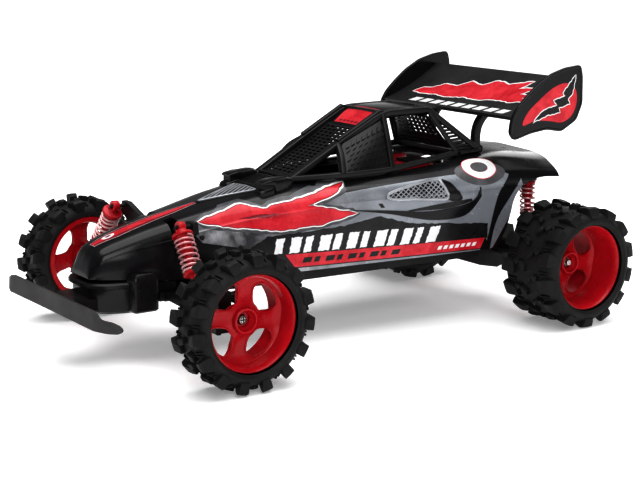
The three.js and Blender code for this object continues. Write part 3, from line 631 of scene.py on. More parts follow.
# ---- Tyres ----------------------------------------------------------------------------------
LUG_SINK = 0.8


def tread_profile(width):
    """The carcass from the middle of the tread to the outer bead: points of (x, radius)."""
    half = width / 2
    return [(0, TREAD_R - 3.4), (half * 0.45, TREAD_R - 3.5), (half - 5, TREAD_R - 3.9),
            (half - 2.2, TREAD_R - 5.4),
            (half - 0.8, TREAD_R - 7.4), (half - 0.5, TREAD_R - 9.2), (half - 1.0, RIM_R + 1.4),
            (half - 2.0, RIM_R + 0.15)]


def on_profile(curve, t):
    """The point and outward normal at a share t of a profile curve."""
    lengths = [0.0]
    for a, b in zip(curve, curve[1:]):
        lengths.append(lengths[-1] + math.dist(a, b))
    target = t * lengths[-1]
    for i, (a, b) in enumerate(zip(curve, curve[1:])):
        if target <= lengths[i + 1] or i == len(curve) - 2:
            s = (target - lengths[i]) / (lengths[i + 1] - lengths[i])
            dx, dr = b[0] - a[0], b[1] - a[1]
            size = math.hypot(dx, dr)
            return (lerp(a[0], b[0], s), lerp(a[1], b[1], s)), (-dr / size, dx / size)
    return curve[-1], (1, 0)


def lug(curve, angle, track, side):
    """One tread block. track lists (share of the profile, sideways mm, half width mm, height mm)."""
    points, faces = [], []
    widest = max(x for x, r in curve) + 0.45
    for t, drift, half, height in track:
        (x, r), (nx, nr) = on_profile(curve, t)
        foot = (x - nx * LUG_SINK, r - nr * LUG_SINK)
        crown = (min(x + nx * height, widest), min(r + nr * height, TREAD_R))
        for (px, pr), offsets in ((foot, (-half * 1.16, half * 1.16)), (crown, (half, 0, -half))):
            for off in offsets:
                a = angle + (drift + off) / TREAD_R
                points.append((side * px, pr * math.sin(a), pr * math.cos(a)))
    n = 5
    for i in range(len(track) - 1):
        for k in range(n):
            m = (k + 1) % n
            faces.append((i * n + k, i * n + m, (i + 1) * n + m, (i + 1) * n + k))
    last = (len(track) - 1) * n
    faces += [tuple(range(n - 1, -1, -1)), tuple(range(last, last + n))]
    return points, faces


FRONT_TREAD = {
    "count": 15,
    "blocks": [
        [(0.30, -1.6, 2.5, 2.5), (0.42, -0.6, 2.7, 3.4), (0.52, 0.3, 3.1, 4.6), (0.60, 0.6, 3.5, 4.4),
         (0.70, 0.7, 3.2, 2.2),
         (0.77, 0.6, 2.6, 0.6)],
        [(0.02, 5.0, 1.5, 2.6), (0.16, 4.2, 2.0, 3.1), (0.30, 3.4, 1.7, 2.8)],
        [(0.34, 7.2, 0.55, 1.3), (0.5, 7.6, 0.55, 1.4), (0.6, 7.8, 0.5, 0.9)],
        [(0.34, 5.4, 0.5, 1.1), (0.5, 5.6, 0.5, 1.2), (0.6, 5.7, 0.45, 0.8)],
    ],
}
REAR_TREAD = {
    "count": 14,
    "blocks": [
        [(0.36, -1.2, 3.4, 2.4), (0.50, -0.4, 3.9, 3.1), (0.60, 0.3, 4.3, 4.3), (0.67, 0.4, 4.4, 4.0),
         (0.74, 0.5, 4.0, 2.0),
         (0.80, 0.4, 3.4, 0.5)],
        [(0.20, 4.6, 1.3, 2.6), (0.28, 3.2, 1.4, 2.9), (0.36, 4.2, 1.2, 2.4)],
        [(0.02, 0.0, 1.8, 2.6), (0.10, 1.4, 1.9, 3.1), (0.18, 3.0, 1.5, 2.6)],
        [(0.36, 8.0, 0.6, 1.2), (0.5, 8.3, 0.6, 1.3), (0.62, 8.5, 0.5, 0.8)],
        [(0.40, 6.4, 0.45, 1.0), (0.5, 6.6, 0.45, 1.1), (0.6, 6.8, 0.4, 0.7)],
    ],
}


def tyre_shapes(width, tread):
    """The hollow carcass and its tread blocks, round the origin with the outer side at +X."""
    half = tread_profile(width)
    smooth = curve_through(half, 5, closed=False)
    outer = [(r, x) for x, r in smooth]
    loop = [(r, -x) for r, x in reversed(outer)][:-1] + outer
    depth = TREAD_R - 6.5
    loop += [(depth - 3, width / 2 - 4.6), (depth, width / 2 - 6.5), (depth, -width / 2 + 6.5),
             (depth - 3, -width / 2 + 4.6)]
    blocks = []
    step = 2 * math.pi / tread["count"]
    for i in range(tread["count"]):
        for side, lag in ((1, 0.0), (-1, 0.5)):
            blocks += [lug(smooth, (i + lag) * step, track, side) for track in tread["blocks"]]
    return revolve(loop, 120), merge(*blocks)


# ---- Rims -----------------------------------------------------------------------------------
def barrel_profile(lip, depth):
    """A deep rim with a rolled outer lip: a closed loop of (radius, x)."""
    return [(23.3, depth + 1.5), (23.7, lip - 4.2), (24.2, lip - 2.2), (25.0, lip - 0.5), (25.5, lip + 0.15),
            (26.0, lip + 0.1),
            (RIM_R, lip - 0.35), (RIM_R, lip - 1.5), (25.6, lip - 2.8), (25.0, lip - 3.6), (25.0, 5),
            (25.4, 3.8), (RIM_R, 2.4),
            (RIM_R - 0.2, 1.7), (23.6, 1.6), (23.1, 2.4)]


def window(turn, grow=0.0):
    shape = [(10.6 - grow * 0.8, -0.30), (14, -0.47 - grow * 0.03), (18.5, -0.50 - grow * 0.03),
             (21.6 + grow, -0.34),
             (22.2 + grow, 0), (21.6 + grow, 0.34), (18.5, 0.50 + grow * 0.03), (14, 0.47 + grow * 0.03),
             (10.6 - grow * 0.8, 0.30), (10.1 - grow * 0.8, 0)]
    return curve_through([(r * math.sin(a + turn), r * math.cos(a + turn)) for r, a in shape], 4)


def rim_shapes(lip, disc, hub, turn):
    circle = [(23.9 * math.sin(a), 23.9 * math.cos(a)) for a in (2 * math.pi * k / 72 for k in range(72))]
    centre = [(5.2 * math.sin(a), 5.2 * math.cos(a)) for a in (2 * math.pi * k / 32 for k in range(32))]
    turns = [turn + math.pi * (0.5 * k + 0.25) for k in range(4)]
    windows = [[(p[0], p[1]) for p in window(t)] for t in turns]

    def dish(u, v):
        r = math.hypot(u, v)
        crown = disc + 1.4 + (hub - disc - 3.2) * max(0.0, 1 - (r - 5) / 10) ** 2
        rise = 2.2 * max(0.0, (r - 18.5) / 5.4) ** 2
        nearest = min(abs(((math.atan2(u, v) - t + math.pi) % (2 * math.pi)) - math.pi) for t in turns)
        spoke = max(0.0, min(1.0, (nearest - 0.42) / 0.3))
        return (crown + rise - 0.9 * spoke * spoke * (3 - 2 * spoke) * min(1.0, (r - 6) / 5), u, v)

    disc_shape = sheet(flat_mesh(circle, [centre, *windows], 1.5), dish, 2.4)
    barrel = revolve(barrel_profile(lip, 2), 120)
    boss = revolve([(3.0, hub - 5.2), (5.2, hub - 5.0), (5.5, hub - 0.9), (5.9, hub - 0.15),
                    (6.5, hub - 0.05), (7.0, hub - 0.5),
                    (7.2, hub - 2), (7.5, disc + 0.5), (6.6, disc - 3), (6.4, 4.4), (2.8, 4.2),
                    (2.8, hub - 5.4)], 64)
    lips = [sweep([(dish(p[0], p[1])[0] - 0.1, p[0], p[1]) for p in window(t, 0.45)], ring(0.62, 8),
                  closed=True,
                  up=Vector((1, 0, 0))) for t in turns]
    return merge(disc_shape, barrel, boss, *lips)


def screw(x, radius=2.5):
    """A pan-head screw, its head's top at x."""
    return revolve([(0.01, x - 1.6), (radius, x - 1.6), (radius, x - 1.0), (radius * 0.86, x - 0.35),
                    (radius * 0.5, x), (0.01, x + 0.05)], 32, closed=False)


# A dark cross laid on a screw head: painted shade for the cross recess.
def cross(x, radius=2.5):
    a, b = radius * 0.56, radius * 0.14
    return merge(block(x - 0.5, x + 0.12, -a, a, -b, b), block(x - 0.5, x + 0.1, -b, b, -a, a))


def build_wheels():
    for end, axle_y, width, inner, lip, disc, hub, tread in (
        ("front", FRONT_AXLE_Y, 28.0, 80.8, 24.2, 11.5, 17.5, FRONT_TREAD),
        ("rear", REAR_AXLE_Y, 45.0, 59.0, 41.2, 19.0, 25.6, REAR_TREAD),
    ):
        carcass, blocks = tyre_shapes(width, tread)
        for side in ("left", "right"):
            turn = math.radians(8 if side == "left" else -8)
            rim = rim_shapes(lip, disc, hub, turn)
            body = f"front_{side}_wheel" if end == "front" else "rear_axle"
            parts = [
                ("tyre", moved(carcass, inner + width / 2, axle_y, AXLE_Z), TYRE, f"{end}_{side}_tyre", 0,
                 30),
                ("tread", moved(blocks, inner + width / 2, axle_y, AXLE_Z), TREAD, (), 0.35, 30),
                ("rim", moved(rim, inner, axle_y, AXLE_Z), RED, f"{end}_{side}_rim", 0, 28),
                ("hub_screw", moved(screw(inner + hub - 3.2), 0, axle_y, AXLE_Z), STEEL, (), 0, 40),
                # The hub screw's dark cross is painted shade for its cross recess.
                ("hub_screw_slot", moved(cross(inner + hub - 3.2), 0, axle_y, AXLE_Z), SATIN, (), 0, 40),
            ]
            for kind, shape, look, nodes, bevel, sharp in parts:
                make(f"{end}_{side}_{kind}_shown", handed(shape, side), look, body, nodes, bevel, sharp)


build_wheels()


# ---- Body shell -----------------------------------------------------------------------------
# y, then the height of the top middle and (half-width, height) of crease, shoulder, waist, sill.
STATIONS = [
    (-149.3, 49.8, (8, 49.7), (10, 49.5), (11.5, 49.1), (11.6, 48.6)),
    (-147.2, 56.6, (7.4, 56), (9.8, 54.6), (12.6, 51.6), (12.8, 48.5)),
    (-144.6, 62, (8.6, 61.2), (11.8, 58.4), (14.2, 53.2), (14.2, 48.3)),
    (-140.5, 65.4, (9.8, 64.4), (13.6, 61.4), (15.8, 54.6), (16, 48.1)),
    (-128, 70, (12, 69), (16, 66), (19.5, 57), (20, 47.5)),
    (-108, 75.8, (14.5, 74.8), (19, 71), (24, 58), (25, 46)),
    (-85, 81, (17, 80), (22.5, 76), (28.5, 62), (30, 45)),
    (-62, 86, (19.5, 85), (26.5, 80), (33, 66), (35, 44)),
    (-40, 90, (21.5, 89), (32, 83), (37.5, 68), (38.5, 44)),
    (-18, 93, (24, 92), (38.5, 86.5), (41, 69), (40.5, 44)),
    (5, 95, (31, 94.5), (43.5, 89), (44.5, 70), (42, 44)),
    (35, 96, (38, 96), (49, 89.5), (49, 71), (44, 44)),
    (70, 98.5, (42, 98), (53.5, 90), (53, 72), (46, 44)),
    (100, 102.5, (42, 101.5), (56, 91), (55, 73), (47.5, 44)),
    (125, 104.5, (41, 103), (57.5, 91.5), (56.5, 74), (48.5, 44)),
    (158, 102.5, (40, 100.5), (58.5, 89.5), (57.5, 75), (49, 44)),
]
ARCH_RIM = [(111, 40), (116.4, 48), (119.6, 56), (120.8, 66), (121.6, 75), (124.4, 81), (129.4, 85),
            (136, 87.4), (145, 88.4),
            (158, 87.6)]
COCKPIT = [(14, -12), (27, 4), (33, 36), (34, 92), (-34, 92), (-33, 36), (-27, 4), (-14, -12)]
STATION_STEP = 2.4
# The share of each side taken up by the rounding before and after a corner.
CORNERS = {1: (0.12, 0.2), 2: (0.34, 0.3), 3: (0.16, 0.18), 4: (0.16, 0.16)}


def stations_between():
    """The stations interpolated along the car."""
    rows = [[s[0], *s[5], *s[4], *s[3], *s[2], 0, s[1]] for s in STATIONS]
    out = []
    for i in range(len(rows) - 1):
        p0, p1, p2, p3 = rows[max(0, i - 1)], rows[i], rows[i + 1], rows[min(len(rows) - 1, i + 2)]
        span = p2[0] - p1[0]
        count = max(2, round(span / STATION_STEP))
        for k in range(count):
            t = k / count
            row = []
            for a, b, c, d in zip(p0, p1, p2, p3):
                m1 = (c - a) / (p2[0] - p0[0]) * span
                m2 = (d - b) / (p3[0] - p1[0]) * span
                h = (2 * t ** 3 - 3 * t * t + 1, t ** 3 - 2 * t * t + t, -2 * t ** 3 + 3 * t * t,
                     t ** 3 - t * t)
                row.append(h[0] * b + h[1] * m1 + h[2] * c + h[3] * m2)
            row[0] = lerp(p1[0], p2[0], t)
            out.append(row)
    out.append(rows[-1])
    return out


def half_section(row):
    """Half of one cross-section, from the sill up to the top middle, with eased corners."""
    pts = [Vector((row[k], row[k + 1])) for k in (1, 3, 5, 7, 9)]
    bulge = (pts[2] - pts[1]).orthogonal().normalized() * -0.6
    out = [pts[0]]
    ends = {}
    for k in (1, 2, 3):
        a, b, c = pts[k - 1], pts[k], pts[k + 1]
        before, after = CORNERS[k + 1]
        ends[k] = (b + (a - b) * before * 2, b, b + (c - b) * after * 2)
    last = pts[0]
    for k in (1, 2, 3):
        start, mid, end = ends[k]
        steps = 4 if k == 1 else 3
        out += [last.lerp(start, j / steps) + bulge * math.sin(math.pi * j / steps) * (k == 2)
                for j in range(1, steps)]
        out += [start * (1 - t) ** 2 + mid * 2 * t * (1 - t) + end * t * t
                for t in (j / 8 for j in range(9))]
        last = end
    return out + [last.lerp(pts[4], j / 5) for j in range(1, 6)]


def body_shape():
    points, faces = [], []
    rows = stations_between()
    for row in rows:
        half = half_section(row)
        loop = [(p.x, p.y) for p in half] + [(-p.x, p.y) for p in reversed(half[:-1])]
        points += [(x, row[0], z) for x, z in loop]
    n = len(points) // len(rows)
    for i in range(len(rows) - 1):
        for k in range(n - 1):
            faces.append((i * n + k, (i + 1) * n + k, (i + 1) * n + k + 1, i * n + k + 1))
    faces.append(tuple(range(n)))
    return points, faces


def build_body():
    shell = make("body_shell_shown", body_shape(), BODY_BLACK, None, sharp=26)
    wall = shell.modifiers.new("wall", "SOLIDIFY")
    wall.thickness = 0.0018
    wall.offset = -1
    settled(shell)
    rim = curve_through(ARCH_RIM, 5, closed=False)
    carve(shell, prism([(111, 30), *rim, (175, 86), (175, 30)], "x", -70, 70))
    carve(shell, prism(rounded(COCKPIT, 5), "z", 80, 120))
    for side in (1, -1):
        low, high = sorted((side * 9, side * 46))
        carve(shell, block(low, high, -102.2, -96.2, 56, 84))
    reworked(shell.data, bmesh.ops.triangulate)
    shell.data.shade_smooth()
    shell.data.set_sharp_from_angle(angle=math.radians(28))
    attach(shell, "chassis")
    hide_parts("body_shell")
    return shell


SHELL = build_body()
SURFACE = tree_of(SHELL)


def onto(direction, lift_mm):
    """A lifting function that drops (u, v) onto the body along a direction.

    For a direction along -X the plane is (y, z); for -Z it is (x, y)."""
    ray = Vector(direction).normalized()

    def drop(u, v):
        start = Vector((160, u, v)) if abs(ray.x) > abs(ray.z) else Vector((u, v, 160))
        if ray.x and ray.z:
            start = Vector((40, u, v)) - ray * 60
        hit, normal, _, _ = SURFACE.ray_cast(place(start), ray)
        if hit is None:
            hit, normal, _, _ = SURFACE.find_nearest(place((52, u, v) if ray.x else (u, v, 95)))
        if normal.dot(ray) > 0:
            normal = -normal
        p = hit + normal * lift_mm * 0.001
        return (p.x * 1000, p.y * 1000 - SHIFT, p.z * 1000)
    return drop


SIDE_ON = (-1, 0, 0)
TOP_ON = (0, 0, -1)
SHOULDER_ON = (-1, 0, -1)


class Skin:
    """The faces of the body that look back along a direction, for laying prints on them."""

    def __init__(self, direction):
        self.ray = Vector(direction).normalized()
        world = SHELL.matrix_world
        metres = [world @ v.co for v in SHELL.data.vertices]
        self.points = [Vector((p.x * 1000, p.y * 1000 - SHIFT, p.z * 1000)) for p in metres]
        self.faces = [tuple(f.vertices) for f in SHELL.data.polygons]
        self.tree = BVHTree.FromPolygons(self.points, self.faces)
        self.flat = [self.flatten(p) for p in self.points]
        self.normals = [Vector() for _ in self.points]
        self.facing, self.edges = set(), set()
        for i, face in enumerate(self.faces):
            a, b, c = (self.points[k] for k in face)
            normal = (b - a).cross(c - a)
            if normal.normalized().dot(self.ray) > -0.1 or (self.ray.x and a.x + b.x + c.x < 3):
                continue
            self.facing.add(i)
            for k, m in zip(face, face[1:] + face[:1]):
                self.normals[k] += normal
                self.edges.add((min(k, m), max(k, m)))

    def flatten(self, p):
        if not self.ray.x:
            return (p.x, p.y)
        return (p.y, p.z + 40 - p.x) if self.ray.z else (p.y, p.z)

    def start(self, u, v):
        if not self.ray.x:
            return Vector((u, v, 200))
        return Vector((40, u, v)) - self.ray * 90

    def near(self, loop):
        """The drawn edges of the faces that may lie under a flat outline."""
        low = [min(p[i] for p in loop) - 0.5 for i in (0, 1)]
        high = [max(p[i] for p in loop) + 0.5 for i in (0, 1)]
        for k, m in sorted(self.edges):
            a, b = self.flat[k], self.flat[m]
            if all(max(a[i], b[i]) > low[i] and min(a[i], b[i]) < high[i] for i in (0, 1)):
                yield k, m

    def at(self, index, u, v):
        """Where a flat point falls on one face, and the smooth normal there."""
        a, b, c = (self.points[k] for k in self.faces[index])
        normal = (b - a).cross(c - a)
        begin = self.start(u, v)
        p = begin + self.ray * ((a - begin).dot(normal) / self.ray.dot(normal))
        weights = ((b - p).cross(c - p).dot(normal), (c - p).cross(a - p).dot(normal),
                   (a - p).cross(b - p).dot(normal))
        smooth = Vector()
        for w, k in zip(weights, self.faces[index]):
            smooth += self.normals[k].normalized() * max(0.0, w)
        return p, smooth.normalized()

    def film(self, outline, holes, spacing, low, high):
        """A closed thin film over the outline, lying between two heights above the body."""
        loops = [resampled([tuple(p[:2]) for p in loop], spacing) for loop in (outline, *holes)]
        coords, edges, known = [], [], {}
        for loop in loops:
            base = len(coords)
            coords += loop
            edges += [(base + i, base + (i + 1) % len(loop)) for i in range(len(loop))]
        for pair in self.near(loops[0]):
            for k in pair:
                if k not in known:
                    known[k] = len(coords)
                    coords.append(self.flat[k])
            edges.append((known[pair[0]], known[pair[1]]))
        verts, _, faces, *_ = geometry.delaunay_2d_cdt([Vector(p) for p in coords], edges, [], 0, 1e-4)
        found, kept = {}, []
        box = [(min(p[i] for p in loops[0]), max(p[i] for p in loops[0])) for i in (0, 1)]
        for f in faces:
            c = sum((verts[i] for i in f), Vector((0, 0))) / len(f)
            if not all(box[i][0] < c[i] < box[i][1] for i in (0, 1)) or not inside(c, loops[0]):
                continue
            if any(inside(c, h) for h in loops[1:]):
                continue
            index = self.tree.ray_cast(self.start(*c), self.ray)[2]
            if index not in self.facing:
                continue
            for i in f:
                if i not in found:
                    found[i] = self.at(index, *verts[i])
            kept.append(tuple(f))
        return closed_film(found, kept, low, high)


def closed_film(found, faces, low, high):
    """Points with their normals made into a film with a top, an underside and an edge."""
    order = {k: i for i, k in enumerate(sorted(found))}
    count = len(order)
    places = [found[k] for k in sorted(found)]
    points = [tuple(p + n * high) for p, n in places] + [tuple(p + n * low) for p, n in places]
    top = []
    for f in faces:
        a, b, c = (places[order[k]][0] for k in f[:3])
        face = tuple(order[k] for k in f)
        top.append(face if (b - a).cross(c - a).dot(places[face[0]][1]) > 0 else face[::-1])
    sides = {(a, b) for f in top for a, b in zip(f, f[1:] + f[:1])}
    out = top + [tuple(i + count for i in reversed(f)) for f in top]
    out += [(b, a, a + count, b + count) for a, b in sorted(sides) if (b, a) not in sides]
    normals = [tuple(n) for _, n in places]
    return (points, out), normals + [tuple(-Vector(n)) for n in normals]


SKINS = {direction: Skin(direction) for direction in (SIDE_ON, TOP_ON, SHOULDER_ON)}


def torn(outline, spacing=1.6, jag=0.8, seed=3):
    """An outline with ragged edges."""
    random.seed(seed)
    loop = resampled([tuple(p[:2]) for p in outline], spacing)
    n = len(loop)
    out = []
    for i, p in enumerate(loop):
        a, b = Vector(loop[i - 1]), Vector(loop[(i + 1) % n])
        normal = (b - a).orthogonal().normalized()
        push = (random.random() - 0.5) * 2 * jag
        out.append(tuple(Vector(p) + normal * push))
    return out


def grown(outline, distance):
    """A closed outline pushed outwards."""
    n = len(outline)
    area = sum(a[0] * b[1] - b[0] * a[1] for a, b in zip(outline, outline[1:] + outline[:1]))
    sign = -1 if area > 0 else 1
    out = []
    for i, p in enumerate(outline):
        a, b = Vector(outline[i - 1][:2]), Vector(outline[(i + 1) % n][:2])
        normal = (b - a).orthogonal().normalized() * sign
        out.append(tuple(Vector(p[:2]) + normal * distance))
    return out


def ellipse(cx, cy, rx, ry, steps=48, tilt=0.0):
    c, s = math.cos(math.radians(tilt)), math.sin(math.radians(tilt))
    ring_points = [(rx * math.cos(a), ry * math.sin(a))
                   for a in (2 * math.pi * k / steps for k in range(steps))]
    return [(cx + x * c - y * s, cy + x * s + y * c) for x, y in ring_points]


def slanted(start, width, low, high, lean):
    return [(start, low), (start + width, low), (start + width + lean, high), (start + lean, high)]


PRINT_SPACING = 1.3
PRINT_STEP = 0.035


def print_on(name, outline, look, layer, direction=SIDE_ON, both=True, holes=(), lift=0.0):
    """A printed film, or with a lift a thin raised plate, on the body and alike on both sides."""
    normals = other = None
    if lift:
        shape = sheet(flat_mesh(outline, holes, PRINT_SPACING), onto(direction, 0.1 + lift), 0.05 + lift)
    else:
        under = 0.01 + PRINT_STEP * layer
        shape, normals = SKINS[direction].film(outline, holes, PRINT_SPACING, under, under + 0.03)
        other = [(-x, y, z) for x, y, z in normals]
    sides = (("left", shape, normals), ("right", mirrored(*shape),
                                        other)) if both else (("middle", shape, normals),)
    for side, each, facing in sides:
        piece = make(f"{name}_{side}", each, look, "chassis", sharp=60 if not lift else 40, outward=False,
                     normals=facing)
        if lift:
            soften(piece, min(0.25, lift * 0.3), 2, 40)


def bend_through(*points):
    """A smooth open stretch of an outline."""
    return curve_through(points, 5, closed=False)


# The livery is drawn for this model: plain bands and crescents, and a splash of its own shape.
SILVER_SIDE = [(-92, 73), *bend_through((-90, 76), (-40, 80), (0, 88), (60, 93), (110, 95)),
               *bend_through((117, 92), (108, 78), (106, 50)), (100, 60), (-60, 60), (-86, 65)]
ARCH_SILVER = [*bend_through((126, 89), (113, 80), (110, 60), (110, 44)),
               *bend_through((112, 45), (120, 64), (127, 85))]
ARCH_LINE = [*bend_through((120, 93), (109, 81), (107, 60), (106, 45)),
             *bend_through((109, 45), (111, 66), (126, 90))]
SPLASH = [(-86, 76), (-58, 84), (-48, 81), (-30, 85), (5, 93), (-8, 87), (-22, 82), (-6, 79), (8, 76),
          (-14, 71),
          (-40, 69), (-70, 73)]
BACKING = [(-62, 59), (-48, 66), (0, 69), (24, 73), (44, 67), (104, 62), (106, 52), (-58, 55)]
RED_BAND = [(-38, 55), (104, 52.4), (102, 45.4), (-32, 47.2)]
SILL_BAND = [(-31, 46.6), (102, 44.9), (102, 44.3), (-38, 44.3)]
SWOOSH = [*bend_through((3, 78), (30, 76), (60, 73.4), (88, 77), (94, 86)),
          *bend_through((95, 80), (84, 69), (60, 68), (30, 74), (10, 77))]
LENS = [*bend_through((42, 75), (64, 77.4), (88, 79)), *bend_through((88.6, 77.6), (70, 74.4), (44, 74.6))]
BAR_WIDTHS = (5, 6.6, 4.6, 7.4)
BAR_PITCH = 9.35
BARS = [(-45 + i * BAR_PITCH, BAR_WIDTHS[i % 4]) for i in range(12)]
DASH_WIDTHS = (5.6, 3.4)
DASHES = [(-27 + i * 7.6, DASH_WIDTHS[i % 2]) for i in range(9)]


def build_livery():
    print_on("side_silver", SILVER_SIDE, SIDE_SILVER, 0)
    print_on("arch_silver", ARCH_SILVER, SIDE_SILVER, 0)
    print_on("arch_line", ARCH_LINE, BODY_BLACK, 1, lift=0.45)
    edge = torn(SPLASH, 3.0, 0.4, seed=11)
    print_on("splash_shade", grown(torn(SPLASH, 3.4, 0.5, seed=4), 2.6), PRINT_SHADE, 1)
    print_on("splash_glow", grown(edge, 1.7), PRINT_GREY, 2)
    print_on("splash_edge", grown(edge, 1.0), PRINT_WHITE, 3)
    print_on("splash_line", grown(edge, 0.35), PRINT_DEEP, 4)
    print_on("splash", edge, PRINT_RED, 5)
    print_on("bars_backing", torn(BACKING, 2.8, 0.4, seed=8), PRINT_BLACK, 2)
    print_on("splash_fleck", torn([(-64, 76.4), (-50, 78.6), (-38, 78.2), (-46, 76.8)], 1.2, 0.25, 5),
             PRINT_DEEP, 6)
    for i, (start, width) in enumerate(BARS):
        low = 55.8 - (start + 40) * 0.022
        high = 64.6 - max(0, start - 8) * 0.02
        bar = torn(slanted(start, width, low, high, 2.3), 1.0, 0.3, seed=30 + i)
        print_on(f"bar_{i + 1}", bar, PRINT_WHITE, 3)
    print_on("red_band", RED_BAND, PRINT_RED, 3)
    print_on("sill_band", SILL_BAND, SIDE_SILVER, 3)
    for i, (start, width) in enumerate(DASHES):
        middle = 50.9 - (start + 28) * 0.018
        print_on(f"dash_{i + 1}", slanted(start, width, middle - 1.5, middle + 1.5, 1.2), PRINT_BLACK, 4)
    for i in range(7):
        print_on(f"tick_{i + 1}", slanted(68 + i * 4.4, 2.8, 47.9 - i * 0.03, 50.3 - i * 0.03, 0.8),
                 PRINT_WHITE, 4)
    print_on("swoosh", SWOOSH, BODY_BLACK, 1, lift=0.7)
    print_on("lens", LENS, PRINT_BLACK, 1, lift=0.3)
    print_on("notch", slanted(24, 2.6, 78, 80.6, -2), PRINT_BLACK, 1)


def build_roundel():
    print_on("roundel_grey", ellipse(97, 83.4, 18.4, 12.2, tilt=-8), PRINT_GREY, 2, SHOULDER_ON)
    print_on("roundel_edge", ellipse(98.4, 88.6, 12.4, 13.0), PRINT_RED, 3, SHOULDER_ON)
    print_on("roundel", ellipse(98.4, 88.6, 11.9, 12.4), PRINT_WHITE, 4, SHOULDER_ON,
             holes=[ellipse(98.4, 88.6, 6.2, 6.0)])
    print_on("roundel_heart", ellipse(98.4, 88.6, 6.0, 5.8), PRINT_GREY, 4, SHOULDER_ON)


def build_nose_stripe():
    stripe = [(-2.6, -141), (2.6, -141), (5.4, -128), (5.2, -110), (3.8, -92), (1.2, -75.6), (-1.2, -75.6),
              (-3.8, -92),
              (-5.2, -110), (-5.4, -128)]
    print_on("nose_stripe_edge", grown(stripe, 0.6), PRINT_PALE, 1, TOP_ON, False)
    print_on("nose_stripe", stripe, PRINT_DEEP, 2, TOP_ON, False)
    core = [(x * 0.55, y) for x, y in stripe]
    print_on("nose_stripe_core", core, PRINT_RED, 3, TOP_ON, False)
    print_on("nose_dot", ellipse(0, -131.4, 2.5, 3.8, 32), PRINT_WHITE, 4, TOP_ON, False)
    print_on("nose_dot_heart", ellipse(0, -131.4, 1.1, 1.8, 24), PRINT_DEEP, 5, TOP_ON, False)


build_livery()
build_roundel()
build_nose_stripe()


def screw_head(name, where, radius, axis, body, look=None):
    """A pan-head screw with a dark cross on its head, painted shade for its cross recess, standing at a
    point and looking along an axis.
    """
    turn = Vector((1, 0, 0)).rotation_difference(Vector(axis)).to_matrix()
    for suffix, part, colour in (("", screw(0.9, radius), look or STEEL),
                                 ("_slot", cross(0.9, radius), SATIN)):
        make(f"{name}{suffix}", moved(turned(part, turn), *where), colour, body, sharp=40)


# ---- Roll cage and its panels ---------------------------------------------------------------
CAGE = {
    "base": (17.3, -20, 94.5), "joint": (18.2, 12.5, 112.8), "roof_front": (19.1, 44.6, 130),
        "roof_rear": (19.6, 80, 130.6),
    "sill_front": (34.5, 5, 97.4), "sill_rear": (37, 39, 98.6), "strut_inner": (30, 96, 103.6),
        "strut_outer": (30, 113, 104.6),
}
MESH = {"low_front": (35.2, 5.6, 98.0), "low_rear": (36.6, 38.4, 99.4), "top_rear": (20.6, 46.4, 127.6),
        "top_front": (21.4, 12.8, 113.2)}


def beam(a, b, wide, thick, corner):
    """A moulded bar with rounded edges between two points."""
    return sweep([a, b], rounded_box(wide / 2, thick / 2, corner, 3))


def along(a, b, t):
    return tuple(Vector(a).lerp(Vector(b), t))


def build_cage():
    c = CAGE
    bars = [
        sweep(smooth_path([(17.1, -22.5, 93.2), c["base"], c["joint"], c["roof_front"], c["roof_rear"]], 7),
              rounded_box(2.5, 1.9, 0.9)),
        sweep(smooth_path([c["roof_rear"], along(c["roof_rear"], c["strut_inner"], 0.5), c["strut_inner"]],
                          5),
              rounded_box(1.9, 1.5, 0.7)),
        sweep(smooth_path([c["roof_rear"], along(c["roof_rear"], c["strut_outer"], 0.5), c["strut_outer"]],
                          5),
              rounded_box(2.3, 1.7, 0.8)),
        sweep(smooth_path([c["joint"], (27.5, 8.4, 107.2), c["sill_front"]], 6), rounded_box(2.1, 1.7, 0.8),
              up=Vector((0, 1, 0))),
        sweep(smooth_path([c["roof_front"], (29.2, 41.4, 114.5), c["sill_rear"]], 8),
              rounded_box(2.1, 1.7, 0.8),
              up=Vector((0, 1, 0))),
        sweep(smooth_path([(17.3, -20, 94.8), c["sill_front"], c["sill_rear"], c["strut_inner"]], 8),
              rounded_box(2.2, 1.6, 0.7)),
        beam(c["strut_inner"], c["strut_outer"], 7.5, 2.4, 0.9),
        sweep(smooth_path([along(c["joint"], c["roof_front"], 0.02),
                           along(c["joint"], c["roof_front"], 0.96)], 1),
              rounded_box(1.7, 3.3, 0.8)),
    ]
    for i in range(10):
        t = 0.28 + i * 0.072
        bars.append(beam(along(c["roof_rear"], c["strut_inner"], t),
                         along(c["roof_rear"], c["strut_outer"], t), 1.8, 1.4, 0.4))
    left = merge(*bars)
    across = [sweep([(-x, y, z), (x, y, z)], rounded_box(1.9, 1.6, 0.7)) for x, y, z in
              (c["base"], c["roof_front"], c["roof_rear"], c["strut_inner"])]
    make("roll_cage_shown", merge(left, mirrored(*left), *across), CAGE_BLACK, "chassis", "roll_cage",
         sharp=40)


